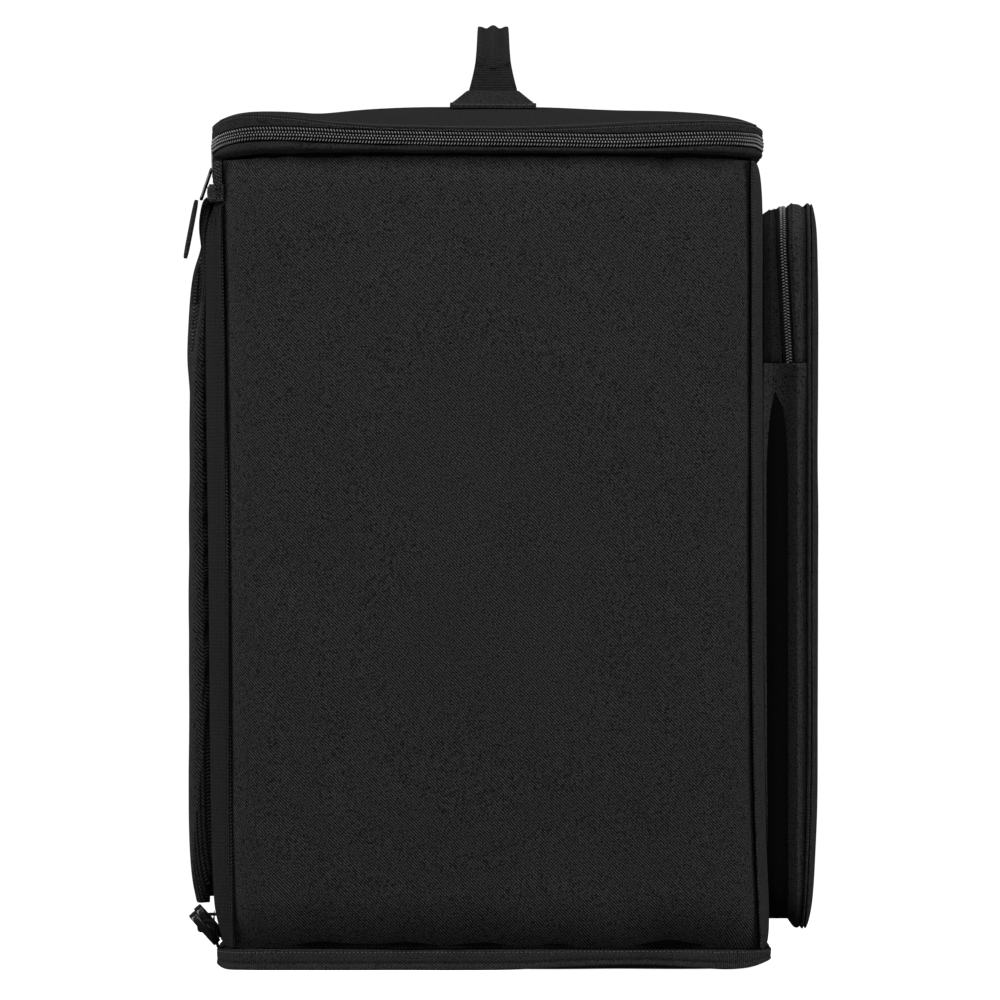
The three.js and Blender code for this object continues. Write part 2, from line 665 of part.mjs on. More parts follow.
// How the webbing spreads towards its ends: up is a share of the rise, flare a share of the way
// from the grip's width to the ends' width, bulk a share of the way between their thicknesses
const handleFlare = [
  { up: 0.0, flare: 1.0, bulk: 0.0 },
  { up: 0.12, flare: 0.82, bulk: 0.0 },
  { up: 0.35, flare: 0.43, bulk: 0.07 },
  { up: 0.54, flare: 0.18, bulk: 0.8 },
  { up: 0.74, flare: 0.07, bulk: 1.0 },
  { up: 1.0, flare: 0.0, bulk: 1.0 },
];
const handleBend = 0.72; // below 1 makes the arch squarer than an ellipse
function handle() {
  const foot = patchTop + 2 * seamGap;
  const rise = gripTop - handleGripPad / 2 - foot;
  const stations = spread(0, Math.PI, 28).map((turn) => {
    const out = new THREE.Vector3(0, -Math.cos(turn) / handleFoot, Math.sin(turn) / rise).normalize();
    const y = -handleFoot * Math.sign(Math.cos(turn)) * Math.abs(Math.cos(turn)) ** handleBend;
    const z = foot + rise * Math.sin(turn) ** handleBend;
    return { at: new THREE.Vector3(handleX, y, z), out, across: new THREE.Vector3(1, 0, 0) };
  });
  stations[0].out.set(0, -1, 0);
  stations.at(-1).out.set(0, 1, 0);
  return sweep(stations, ({ at }) => {
    const up = (at.z - foot) / rise;
    const width = lerp(handleGripWidth, handleEndWidth, look(handleFlare, 'up', up, 'flare'));
    const thick = lerp(handleEndPad, handleGripPad, look(handleFlare, 'up', up, 'bulk'));
    return gripSection.map(({ across, lift }) => [lift * thick, across * width]);
  }, false);
}

// Harness
function strapAnchor() {
  const foot = padTop + seamGap + anchorLift;
  const x = (z) => sideBackEdge(z) - 2 * seamGap - backCloth;
  const place = (u, v, out) => new THREE.Vector3(x(foot) - out, u * backReach, foot + anchorHeight * v);
  const thick = (v) => anchorCloth * (v === 0 || v === 1 ? 0.7 : 1);
  return slab([-1, 1], [0, 0.25, 0.75, 1], (u, v) => place(u, v, thick(v)), (u, v) => place(u, v, 0));
}
function strapRest(z, y) {
  const onPad = sideBackEdge(z) - crossThickness(meshPanel, y, Math.min(z, padTop));
  return Math.min(onPad, bodyBack - strapBridge) - 2 * seamGap;
}
function shoulderStrap(side, rows) {
  const top = padTop + anchorLift;
  const run = top - strapEndHeight;
  const stations = rows.map((row) => {
    const outer = bodyBack - strapReach * row.out;
    const place = lerp(strapTopPlace, strapEndPlace, row.aside);
    const wide = strapWidth * row.wide;
    const z = top - run * row.down;
    return {
      at: new THREE.Vector3(outer, side * place, z), out: new THREE.Vector3(1, 0, 0),
      across: new THREE.Vector3(0, 1, 0), thick: strapRest(z, place - wide / 2) - outer, wide,
    };
  });
  return sweep(stations, ({ thick, wide }) => [
    [0.3 * thick, -wide / 2], [0, -wide * 0.44], [0, wide * 0.44], [0.3 * thick, wide / 2],
    [0.7 * thick, wide / 2], [thick, wide * 0.44], [thick, -wide * 0.44], [0.7 * thick, -wide / 2],
  ], false);
}

// Ladder buckle: a plate with two slots, standing at the end of a strap
const buckleTop = strapEndHeight - seamGap;
const buckleFace = bodyBack - buckleOut;
const slotHeight = (buckleHeight - buckleTopBar - 2 * buckleBar) / 2;
const centreBarTop = buckleTop - buckleTopBar - slotHeight;
function buckle(side) {
  const wide = buckleWidth / 2;
  const cut = wide - buckleCorner;
  const outline = new THREE.Shape([
    new THREE.Vector2(-cut, 0), new THREE.Vector2(cut, 0),
    new THREE.Vector2(wide, buckleCorner), new THREE.Vector2(wide, buckleHeight - buckleCorner),
    new THREE.Vector2(cut, buckleHeight), new THREE.Vector2(-cut, buckleHeight),
    new THREE.Vector2(-wide, buckleHeight - buckleCorner), new THREE.Vector2(-wide, buckleCorner),
  ]);
  const slotHalf = buckleWidth / 2 - buckleWall;
  for (const foot of [buckleBar, 2 * buckleBar + slotHeight]) {
    outline.holes.push(new THREE.Path([
      new THREE.Vector2(-slotHalf, foot), new THREE.Vector2(-slotHalf, foot + slotHeight),
      new THREE.Vector2(slotHalf, foot + slotHeight), new THREE.Vector2(slotHalf, foot),
    ]));
  }
  const geometry = new THREE.ExtrudeGeometry(outline, { depth: bucklePlate, bevelEnabled: false });
  geometry.rotateX(Math.PI / 2);
  geometry.rotateZ(Math.PI / 2);
  geometry.translate(buckleFace, side * strapEndPlace, buckleTop - buckleHeight);
  return geometry;
}

// Webbing from the base, up behind the buckle, out over its middle bar and back in
function strapWeb(side) {
  const back = buckleFace + bucklePlate;
  const half = webCloth / 2;
  const clear = half + seamGap;
  const upper = centreBarTop + clear;
  const lower = centreBarTop - buckleBar - clear;
  const load = back + 3 * webCloth;
  const foot = baseBandHeight + seamGap;
  const route = [
    [baseBack + half, foot], [lerp(baseBack, load, 0.5), lerp(foot, lower, 0.35)], [load, lower - 2],
    [load, upper - 0.6], [load - 0.8, upper], [buckleFace - clear + 0.5, upper],
    [buckleFace - clear, upper - 0.5], [buckleFace - clear, lower + 0.5],
    [buckleFace - clear + 0.5, lower], [back + clear - 0.4, lower],
    [back + clear, lower - 0.6], [back + clear, lower - 3.2],
  ];
  const stations = route.map(([x, z], k) => {
    const before = route[Math.max(0, k - 1)];
    const after = route[Math.min(route.length - 1, k + 1)];
    const out = new THREE.Vector3(-(after[1] - before[1]), 0, after[0] - before[0]).normalize();
    return { at: new THREE.Vector3(x, side * strapEndPlace, z), out, across: new THREE.Vector3(0, 1, 0) };
  });
  stations[0].out.set(-1, 0, 0);
  return sweep(stations, () => [
    [half, -webWidth / 2], [half, webWidth / 2], [-half, webWidth / 2], [-half, -webWidth / 2],
  ], false);
}

// Front pocket: strips of cloth and a zip that run round it, and a padded face
const pocketHalf = pocketWidth / 2;
function pocketLoop() {
  const low = pocketBottom;
  const high = pocketTop;
  const radius = pocketRadius;
  const lowerStops = spread(low + radius, pocketZipEnd - seamGap / 2, 7).slice(1);
  const upperStops = spread(pocketZipEnd + seamGap / 2, high - radius, 3).slice(0, -1);
  return halfLoop({
    low, high, half: pocketHalf, radius, lowStops: [0, pocketHalf / 2],
    sideStops: [...lowerStops, ...upperStops], highStops: [pocketHalf / 2, 0], cornerSteps: 5,
  });
}
function pocketFaceAt(z) {
  const up = (z - pocketBottom) / (pocketTop - pocketBottom);
  return pocketFace - pocketDepth * look(pocketLean, 'up', up, 'front');
}
function pocketX(z, share) {
  return lerp(frontFaceAt(z) + seamGap, pocketFaceAt(z) - pocketFrontPad, share);
}
function overPath() {
  const near = pocketLoop().filter((p) => p.a > pocketZipEnd);
  return [...near, ...mirrored(near.slice(0, -1).reverse())];
}
function underPath() {
  const near = pocketLoop().filter((p) => p.a < pocketZipEnd);
  return [...near.slice(1).reverse(), ...mirrored(near)];
}
function pocketStrip(path, { from, to, sinkFrom, sinkTo }) {
  return sweep(uprightStations(path), ({ at }) => {
    const start = pocketX(at.z, from);
    const end = pocketX(at.z, to) - seamGap;
    return [
      [-sinkFrom * pocketCloth, start], [-sinkTo * pocketCloth, end],
      [-(sinkTo + 1) * pocketCloth, end], [-(sinkFrom + 1) * pocketCloth, start],
    ];
  }, false);
}
function pocketLowerStrip() {
  return sweep(uprightStations(underPath()), ({ at }) => {
    const xAt = ({ depth }, k) => pocketX(at.z, depth) - (k === pocketFold.length - 1 ? seamGap : 0);
    const outer = pocketFold.map((row, k) => [-row.sink * pocketCloth, xAt(row, k)]);
    const inner = pocketFold.map((row, k) => [-(row.sink + 1) * pocketCloth, xAt(row, k)]);
    return [...outer, ...inner.reverse()];
  }, false);
}
function pocketPiping() {
  return sweep(uprightStations(wholeLoop(pocketLoop())), ({ at }) => {
    const start = pocketX(at.z, pocketPipingStrip.from);
    const end = pocketX(at.z, pocketPipingStrip.to) - seamGap;
    const shoulder = -pipingSize * 0.3;
    return [
      [0, (start + end) / 2], [shoulder, end], [-pipingSize, end], [-pipingSize, start], [shoulder, start],
    ];
  }, true);
}
function pocketFrontPanel() {
  const inset = pipingSize * 0.3;
  const face = (z, b, t, toEnd) => {
    const toSide = pocketHalf * (1 - Math.abs(t));
    const turn = edgeTurn(Math.min(toSide, toEnd)) * 0.7;
    const crown = pocketCrown * (t * t);
    return pocketFaceAt(z) - turn - crown;
  };
  return plate({
    low: pocketBottom + inset, high: pocketTop - inset,
    half: pocketHalf - inset, radius: pocketRadius - inset,
    aStops: roundedStops, bStops: acrossStops, outer: face, inner: (z) => pocketX(z, 1),
    toPoint: (a, b, x) => new THREE.Vector3(x, b, a),
  });
}

// Sliders and pulls
function slider(x, y, z, facing) {
  const half = sliderWidth / 2;
  const long = sliderLength / 2;
  const stops = [-1, -0.6, 0.6, 1];
  const rise = (u, v) => sliderPlate * (Math.abs(u) === 1 || Math.abs(v) === 1 ? 0.55 : 1);
  const place = (u, v, out) => facing(x, y, z, out, u * half, v * long);
  return slab(stops, stops, (u, v) => place(u, v, rise(u, v)), (u, v) => place(u, v, 0));
}
function outwardBack(x, y, z, out, aside, up) {
  return new THREE.Vector3(x - out, y + aside, z + up);
}
function outwardFar(x, y, z, out, aside, up) {
  return new THREE.Vector3(x + aside, y + out, z + up);
}
const sliderPlace = zipEndPlace + sliderWidth * 0.75;
const sliderZ = zipMiddle({ x: lidBack, y: sliderPlace });
const sliderBase = lidBack - seamGap;
const wireTop = { x: sliderBase - sliderPlate - seamGap - wireSize / 2, z: sliderZ };
const tabTop = {
  x: bodyBack - harnessReach + tabLength * Math.sin(tabLean) + tabCloth / 2,
  z: sliderZ - wireLoopDrop,
};
function pullWire() {
  const middle = new THREE.Vector3((wireTop.x + tabTop.x) / 2, -sliderPlace, (wireTop.z + tabTop.z) / 2);
  const down = new THREE.Vector3(tabTop.x - wireTop.x, 0, tabTop.z - wireTop.z);
  const half = down.length() / 2;
  down.normalize();
  const aside = new THREE.Vector3(0, 1, 0);
  const normal = new THREE.Vector3().crossVectors(aside, down);
  const corner = wireLoopWidth / 2;
  const stations = spread(0, Math.PI * 2, 12).slice(0, -1).map((turn) => {
    const [sideways, lower] = [Math.cos(turn), Math.sin(turn)];
    const reach = aside.clone().multiplyScalar(sideways).addScaledVector(down, lower);
    const straight = Math.abs(lower) < 0.01 ? 0 : Math.sign(lower) * (half - corner);
    const at = middle.clone().addScaledVector(reach, corner).addScaledVector(down, straight);
    return { at, out: reach, across: normal };
  });
  const round = spread(0, Math.PI * 2, 6).slice(0, -1);
  const bead = round.map((turn) => [Math.cos(turn) * (wireSize / 2), Math.sin(turn) * (wireSize / 2)]);
  return sweep(stations, () => bead, true);
}
function pullTab() {
  const away = new THREE.Vector3(0, 1, 0);
  const slope = new THREE.Vector3(-Math.sin(tabLean), 0, -Math.cos(tabLean));
  const out = new THREE.Vector3().crossVectors(slope, away);
  const start = new THREE.Vector3(tabTop.x, -sliderPlace, tabTop.z);
  start.addScaledVector(slope, wireSize / 2 + seamGap);
  const stations = [0, 0.1, 0.5, 0.9, 1].map((share) => ({
    at: start.clone().addScaledVector(slope, tabLength * share), out, across: away, share,
  }));
  return sweep(stations, ({ share }) => {
    const wide = (tabWidth / 2) * (share === 1 ? 0.7 : 1);
    const thick = (tabCloth / 2) * (share === 0 || share === 1 ? 0.7 : 1);
    return [[thick, -wide], [thick, wide], [-thick, wide], [-thick, -wide]];
  }, false);
}
const pocketSliderBase = pocketHalf - pocketOuterStrip.sinkTo * pocketCloth + seamGap;
function pocketSlider() {
  const z = pocketZipEnd + sliderLength;
  const x = (pocketX(z, pocketZipStrip.from) + pocketX(z, pocketZipStrip.to)) / 2;
  return slider(x, pocketSliderBase, z, outwardFar);
}
function pocketPull() {
  const z = pocketZipEnd + sliderLength;
  const x = (pocketX(z, pocketZipStrip.from) + pocketX(z, pocketZipStrip.to)) / 2;
  const y = pocketSliderBase + sliderPlate + seamGap;
  return slab([0, 0.5, 1], [-1, 1],
    (u, v) => new THREE.Vector3(x + (v * tabWidth) / 2, y + tabCloth * 0.6, z + 2 - u * tabLength),
    (u, v) => new THREE.Vector3(x + (v * tabWidth) / 2, y, z + 2 - u * tabLength));
}

// Assembly
const speakerBackpack = new THREE.Group();
speakerBackpack.name = 'speaker_backpack';
function add(name, geometry, material) {
  const mesh = new THREE.Mesh(geometry, material);
  mesh.name = name;
  speakerBackpack.add(mesh);
}

add('front_panel', frontPanel(), twill);
add('back_panel', backPanel(), twill);
add('back_pad', meshPad(), airMesh);
add('floor_panel', floorPanel(), twill);
add('base_band', baseBand(), webbing);
add('lid_top', lidTop(), twill);
add('lid_gusset', lidGusset(), twill);
add('lid_zip', lidZip(), coil);
add('zip_roll', zipRoll(), twill);
add('handle', handle(), webbing);
add('strap_anchor', strapAnchor(), webbing);
for (const [name, side, rows] of [['near', -1, nearStrap], ['far', 1, farStrap]]) {
  add(`side_panel_${name}`, sidePanel(side), twill);
  add(`handle_patch_${name}`, handlePatch(side), webbing);
  add(`shoulder_strap_${name}`, shoulderStrap(side, rows), airMesh);
  add(`buckle_${name}`, buckle(side), plastic);
  add(`strap_web_${name}`, strapWeb(side), webbing);
}
add('pocket_front', pocketFrontPanel(), twill);
add('pocket_piping', pocketPiping(), webbing);
add('pocket_outer_strip', pocketStrip(overPath(), pocketOuterStrip), twill);
add('pocket_zip', pocketStrip(overPath(), pocketZipStrip), coil);
add('pocket_inner_strip', pocketStrip(overPath(), pocketInnerStrip), twill);
add('pocket_lower_strip', pocketLowerStrip(), twill);
add('pocket_slider', pocketSlider(), metal);
add('pocket_pull', pocketPull(), webbing);
add('lid_slider', slider(sliderBase, -sliderPlace, sliderZ, outwardBack), metal);
add('lid_pull_wire', pullWire(), metal);
add('lid_pull_tab', pullTab(), webbing);

export default speakerBackpack;
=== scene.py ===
# %% [markdown]
# # A padded speaker backpack, dressed on its frame
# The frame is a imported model: every panel, band and strap already has its true place and size.
# This lesson turns those plain solids into cloth, mesh, webbing, zip teeth, thread and plastic.
# All lengths are metres. +Z is up, +X points at the front pocket and -Y at the reader.

import math

import bmesh
import bpy
from mathutils import Matrix, Vector, kdtree, noise
from mathutils.bvhtree import BVHTree


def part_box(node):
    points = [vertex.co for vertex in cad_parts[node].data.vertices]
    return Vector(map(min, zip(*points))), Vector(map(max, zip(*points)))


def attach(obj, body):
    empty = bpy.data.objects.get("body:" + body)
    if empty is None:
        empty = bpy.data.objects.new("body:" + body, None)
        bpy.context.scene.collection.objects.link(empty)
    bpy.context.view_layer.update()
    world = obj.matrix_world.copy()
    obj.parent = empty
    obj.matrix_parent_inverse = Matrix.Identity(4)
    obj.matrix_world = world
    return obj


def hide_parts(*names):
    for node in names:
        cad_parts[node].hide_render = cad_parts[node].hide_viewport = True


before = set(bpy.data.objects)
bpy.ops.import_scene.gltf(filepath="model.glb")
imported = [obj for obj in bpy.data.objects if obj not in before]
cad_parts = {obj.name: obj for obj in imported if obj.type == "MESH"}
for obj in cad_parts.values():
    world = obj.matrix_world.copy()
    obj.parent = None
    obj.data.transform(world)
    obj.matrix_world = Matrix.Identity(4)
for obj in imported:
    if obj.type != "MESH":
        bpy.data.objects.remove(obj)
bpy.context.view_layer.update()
MM = 0.001
print("frame parts:", len(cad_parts))

# %% [markdown]
# ## The way round a bag
# Bands, zips and seams run round a rounded rectangle, seen from above for the body and from the
# front for the pocket. They could be traced point by point. A small ruler that turns a place into
# a length along that loop, and back, serves them all: cloth is laid with it, and thread follows it.


# %% A ruler that bends round corners
class Loop:
    """A rounded rectangle: a runs from low to high, b from -half to half. Zero is the middle of
    the high end, and the length grows towards -b, so both sides are measured alike."""

    def __init__(self, low, high, half, radius, upright=False):
        self.low, self.high, self.half, self.radius = low, high, half, radius
        self.upright = upright
        self.flat = half - radius
        self.corner = radius * math.pi / 2
        self.side = high - low - 2 * radius
        self.length = 2 * (2 * self.flat + 2 * self.corner + self.side)

    def measure(self, point):
        a, b = (point.z if self.upright else point.x), abs(point.y)
        over = b - self.flat
        if over > 0 and a > self.high - self.radius:
            return self.flat + self.radius * math.atan2(over, a - self.high + self.radius)
        if over > 0 and a < self.low + self.radius:
            turn = math.atan2(self.low + self.radius - a, over)
            return self.flat + self.corner + self.side + self.radius * turn
        if over > 0:
            return self.flat + self.corner + self.high - self.radius - a
        if a > (self.low + self.high) / 2:
            return b
        return self.length / 2 - b

    def spot(self, length, out=0.0):
        """Place and outward direction at a length; a negative length lies on the +b side."""
        way, side = abs(length), -1 if length >= 0 else 1
        if way < self.flat:
            a, b, na, nb = self.high, way, 1, 0
        elif way < self.flat + self.corner:
            turn = (way - self.flat) / self.radius
            na, nb = math.cos(turn), math.sin(turn)
            a, b = self.high - self.radius * (1 - na), self.flat + self.radius * nb
        elif way < self.flat + self.corner + self.side:
            a, b, na, nb = self.high - self.radius - (way - self.flat - self.corner), self.half, 0, 1
        elif way < self.flat + 2 * self.corner + self.side:
            turn = (way - self.flat - self.corner - self.side) / self.radius
            na, nb = -math.sin(turn), math.cos(turn)
            a, b = self.low + self.radius * (1 + na), self.flat + self.radius * nb
        else:
            a, b, na, nb = self.low, self.length / 2 - way, -1, 0
        a, b = a + out * na, b + out * nb
        if self.upright:
            return Vector((0, side * b, a)), Vector((0, side * nb, na))
        return Vector((a, side * b, 0)), Vector((na, side * nb, 0))


def loop_of(node, radius, upright=False):
    low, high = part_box(node)
    if upright:
        return Loop(low.z, high.z, high.y, radius, True)
    return Loop(low.x, high.x, high.y, radius)


BODY = loop_of("lid_gusset", 28 * MM)
BASE = loop_of("base_band", 26 * MM)
POCKET = loop_of("pocket_piping", 22 * MM, upright=True)
print("round the lid", round(BODY.length, 3), "m, round the pocket", round(POCKET.length, 3), "m")

# %% [markdown]
# ## From a frame part to a sewn piece
# A frame part is a set of loose triangles. The piece could be built anew, but the frame already
# knows where its seams and corners are, so a copy is merged, its triangles are paired into quads,
# and Subdivision Surface rounds it. Where two faces meet sharply a crease keeps the edge crisp.

# %% Copy, pair and round
MERGE = 2e-6
SHARP = math.radians(50)


def pattern_of(node):
    shape = bmesh.new()
    shape.from_mesh(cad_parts[node].data)
    bmesh.ops.remove_doubles(shape, verts=shape.verts, dist=MERGE)
    bmesh.ops.recalc_face_normals(shape, faces=shape.faces)
    bmesh.ops.join_triangles(shape, faces=shape.faces, angle_face_threshold=math.radians(40),
                             angle_shape_threshold=math.radians(50))
    return shape


def hang(name, shape):
    """A new object from a bmesh, with smooth faces."""
    mesh = bpy.data.meshes.new(name)
    shape.to_mesh(mesh)
    shape.free()
    mesh.shade_smooth()
    piece = bpy.data.objects.new(name, mesh)
    bpy.context.scene.collection.objects.link(piece)
    return piece


def settle(piece):
    """The modifiers become the mesh."""
    graph = bpy.context.evaluated_depsgraph_get()
    made = bpy.data.meshes.new_from_object(piece.evaluated_get(graph))
    piece.modifiers.clear()
    old, piece.data = piece.data, made
    bpy.data.meshes.remove(old)
    made.shade_smooth()
    return piece


def soften(piece, rounds):
    rounding = piece.modifiers.new("Round", "SUBSURF")
    rounding.levels = rounding.render_levels = rounds
    return settle(piece)


def sewn(node, name, rounds, crease=0.0, cuts=0, across=(0, 0, 1)):
    """cuts adds loops over a band's width, so that creases have vertices to move."""
    shape = pattern_of(node)
    firm = shape.edges.layers.float.new("crease_edge")
    if cuts:
        way = Vector(across)
        over = [edge for edge in shape.edges
                if abs((edge.verts[1].co - edge.verts[0].co).normalized().dot(way)) > 0.8]
        bmesh.ops.subdivide_edges(shape, edges=over, cuts=cuts, use_grid_fill=True)
    for edge in shape.edges:
        if edge.calc_face_angle(0.0) > SHARP:
            edge[firm] = crease
    piece = soften(hang(name, shape), rounds)
    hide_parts(node)
    return piece


# %% [markdown]
# ## Padding
# Foam under cloth swells most in the middle of a panel and is held down by its seams. It could be
# drawn as a dome. A short cloth simulation with air pressure gives the small unevenness of a real
# panel. The seams are pinned, and no point may travel further than the cap.

# %% Swell a padded piece
scene = bpy.context.scene


def swell(piece, held, pressure, cap):
    """held(point) is 1 where a seam holds the cloth and 0 where it is free."""
    pins = piece.vertex_groups.new(name="held")
    for corner in piece.data.vertices:
        pins.add([corner.index], held(corner.co), "REPLACE")
    rest = [corner.co.copy() for corner in piece.data.vertices]
    cloth = piece.modifiers.new("Swell", "CLOTH")
    cloth.settings.quality = 4
    cloth.settings.mass = 0.3
    cloth.settings.tension_stiffness = cloth.settings.compression_stiffness = 12
    cloth.settings.bending_stiffness = 1.5
    cloth.settings.use_pressure = True
    cloth.settings.uniform_pressure_force = pressure
    cloth.settings.effector_weights.gravity = 0
    cloth.settings.vertex_group_mass = "held"
    cloth.collision_settings.use_collision = False
    for step in range(1, 21):
        scene.frame_set(step)
    settle(piece)
    scene.frame_set(1)
    furthest = 0.0
    for corner, start in zip(piece.data.vertices, rest):
        way = corner.co - start
        furthest = max(furthest, way.length)
        if way.length > cap:
            corner.co = start + way.normalized() * cap
    piece.vertex_groups.clear()
    print(piece.name, "swelled", round(furthest / MM, 2), "mm, capped at", round(cap / MM, 2))
    return piece


def rim_hold(node, width, axes):
    """Holds the cloth within a width of the node's own edges, along the given axes."""
    low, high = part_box(node)

    def held(point):
        near = min(min(point[k] - low[k], high[k] - point[k]) for k in axes)
        return min(1.0, max(0.0, 1 - (near - width / 2) / width))

    return held


# %% [markdown]
# ## Creases
# Cloth also moves in ways that a swelling pad doesn't show: it ripples along a seam, and it sinks
# where thread draws it in. Both are vertex moves along the surface normal, near a path.


# %% Ripples, draws and rumples
def tree_of(path):
    tree = kdtree.KDTree(len(path))
    for place, point in enumerate(path):
        tree.insert(point, place)
    tree.balance()
    return tree


def shift(piece, by):
    """Moves each vertex along its normal by by(point, normal)."""
    normals = [corner.normal.copy() for corner in piece.data.vertices]
    for corner, normal in zip(piece.data.vertices, normals):
        way = by(corner.co, normal)
        if way:
            corner.co += normal * way
    piece.data.update()
    return piece


def draw_in(piece, path, width, depth):
    """A row of stitches pulls the cloth in along the path."""
    tree = tree_of(path)

    def by(point, normal):
        away = tree.find(point)[2] / width
        return -depth * math.exp(-away * away) if away < 3 else 0

    return shift(piece, by)


def ripple(piece, path, reach, depth, pitch, seed):
    """Puckers that start at the path, run across it and fade over the reach."""
    tree = tree_of(path)

    def by(point, normal):
        _, place, away = tree.find(point)
        if away > reach:
            return 0
        along = noise.noise(path[place] / pitch + Vector((seed, seed, seed)))
        return depth * (1 - away / reach) ** 2 * along

    return shift(piece, by)


def rumple(piece, size, depth, seed):
    drift = Vector((seed, seed * 0.7, -seed))
    return shift(piece, lambda point, normal: depth * noise.noise(point / size + drift))


def fade(value, none, full):
    """0 at none, 1 at full, smooth between."""
    share = min(1.0, max(0.0, (value - none) / (full - none)))
    return share * share * (3 - 2 * share)


# %% [markdown]
# ## Rows along a band
# Thread, zip teeth and creases all follow a band of the bag. The two edges of a band are read from
# the frame against the length round the loop, and a row then runs at any share between them.


# %% Paths along bands, and beads strung on them
def band_edges(node, loop):
    rows = {}
    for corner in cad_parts[node].data.vertices:
        way = round(loop.measure(corner.co) * (-1 if corner.co.y > 0 else 1), 3)
        height = corner.co.x if loop.upright else corner.co.z
        low, high = rows.get(way, (height, height))
        rows[way] = (min(low, height), max(high, height))
    return sorted((way, low, high) for way, (low, high) in rows.items())


ROW_STEP = 2 * MM


def row_along(node, loop, share, out=0.0, up=0.0):
    """Points from the near end to the far end of a band, at a share of its width, moved up."""
    edges = band_edges(node, loop)
    start, stop = edges[-1][0], edges[0][0]
    count = max(2, round(abs(start - stop) / ROW_STEP))
    path = []
    for k in range(count + 1):
        way = start + (stop - start) * k / count
        after = next((i for i, edge in enumerate(edges) if edge[0] >= way), len(edges) - 1)
        low, high = edges[max(0, after - 1)], edges[after]
        part = 0.0 if high[0] == low[0] else min(1.0, max(0.0, (way - low[0]) / (high[0] - low[0])))
        foot, top = (low[j] + (high[j] - low[j]) * part for j in (1, 2))
        point, _ = loop.spot(way, out)
        height = foot + (top - foot) * share + up
        if loop.upright:
            path.append(Vector((height, point.y, point.z)))
        else:
            path.append(Vector((point.x, point.y, height)))
    return path


def spaced(path, pitch):
    """Evenly spaced places on a path, each with its direction."""
    places, wait = [], pitch / 2
    for start, end in zip(path, path[1:]):
        way = end - start
        size = way.length
        while size and wait <= size:
            places.append((start + way * (wait / size), way / size))
            wait += pitch
        wait -= size
    return places


def skin_of(*pieces):
    skin = bmesh.new()
    for piece in pieces:
        skin.from_mesh(piece.data)
    tree = BVHTree.FromBMesh(skin)
    skin.free()
    return tree


def set_on(skin, point, along, lift):
    """A frame on the skin near a point: x along the row, z outwards."""
    spot, out, _, _ = skin.find_nearest(point)
    along = (along - out * along.dot(out)).normalized()
    turn = Matrix((along, out.cross(along), out)).transposed().to_4x4()
    return Matrix.Translation(spot + out * lift) @ turn


def bead_of(balls):
    """A small bead of stretched balls: place, size and turn of each, all in millimetres."""
    shape = bmesh.new()
    for place, size, turn in balls:
        ball = bmesh.ops.create_uvsphere(shape, u_segments=6, v_segments=4, radius=0.5)
        move = (Matrix.Translation(Vector(place) * MM) @ Matrix.Rotation(math.radians(turn), 4, "Z")
                @ Matrix.Diagonal((*(Vector(size) * MM), 1)))
        bmesh.ops.transform(shape, matrix=move, verts=ball["verts"])
    bead = bpy.data.meshes.new("bead")
    shape.to_mesh(bead)
    shape.free()
    return bead


def string(name, frames_and_beads):
    strung = bmesh.new()
    for place, bead in frames_and_beads:
        one = bead.copy()
        one.transform(place)
        strung.from_mesh(one)
        bpy.data.meshes.remove(one)
    return hang(name, strung)


# %% [markdown]
# ## Cloth has a direction
# A weave follows its panel, so each corner of each face gets its place on the cloth, in metres:
# round the bag and up on the walls, and straight across on flat tops. The materials read it.

# %% Lay the weave
def lay(piece, place):
    mesh = piece.data
    weave = mesh.uv_layers.get("weave") or mesh.uv_layers.new(name="weave")
    for face in mesh.polygons:
        for corner in face.loop_indices:
            point = mesh.vertices[mesh.loops[corner].vertex_index].co
            weave.data[corner].uv = place(point, face.normal, face.center)
    mesh.uv_layers.active = weave
    return piece


def round_body(point, normal, middle):
    if abs(normal.z) > 0.75:
        return point.x, point.y
    way = BODY.measure(point)
    return (-way if middle.y < 0 else way), point.z


def round_pocket(point, normal, middle):
    if abs(normal.x) > 0.75:
        return point.y, point.z
    way = POCKET.measure(point)
    return point.x, (-way if middle.y < 0 else way)


def on_top(point, normal, middle):
    return point.x, point.y


BACK_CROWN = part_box("back_pad")[0].x


def on_back(point, normal, middle):
    """Across the back, and on along the sides that turn away from it."""
    turned = point.x - BACK_CROWN
    return (-point.y + turned if middle.y < 0 else -point.y - turned), point.z


def dress(piece, finish, place):
    """The last steps of every piece: weave, material and body."""
    lay(piece, place)
    piece.data.materials.clear()
    piece.data.materials.append(finish)
    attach(piece, "root")
    return piece


# %% [markdown]
# ## Finishes
# Each finish is a small node tree. The nodes could be placed in the editor; here a helper adds one
# node at a time and returns its first output, so a tree reads like arithmetic.

# %% Node arithmetic
def begin(name, **constants):
    finish = bpy.data.materials.new(name)
    finish.use_nodes = True
    tree = finish.node_tree
    shader = tree.nodes["Principled BSDF"]
    for socket, value in constants.items():
        shader.inputs[socket.replace("_", " ")].default_value = value
    return finish, tree, shader


def add(tree, kind, *values, **settings):
    made = tree.nodes.new("ShaderNode" + kind)
    for name, value in settings.items():
        setattr(made, name, value)
    for socket, value in zip(made.inputs, values):
        if isinstance(value, bpy.types.NodeSocket):
            tree.links.new(value, socket)
        elif value is not None:
            socket.default_value = value
    return made.outputs[0]


def maths(tree, operation, *values):
    return add(tree, "Math", *values, operation=operation)


def weave_place(tree, pitch_u, pitch_v):
    """Counts threads along both directions of the laid cloth."""
    place = add(tree, "UVMap", uv_map="weave")
    parts = tree.nodes.new("ShaderNodeSeparateXYZ")
    tree.links.new(place, parts.inputs[0])
    across = maths(tree, "DIVIDE", parts.outputs[0], pitch_u)
    return across, maths(tree, "DIVIDE", parts.outputs[1], pitch_v)


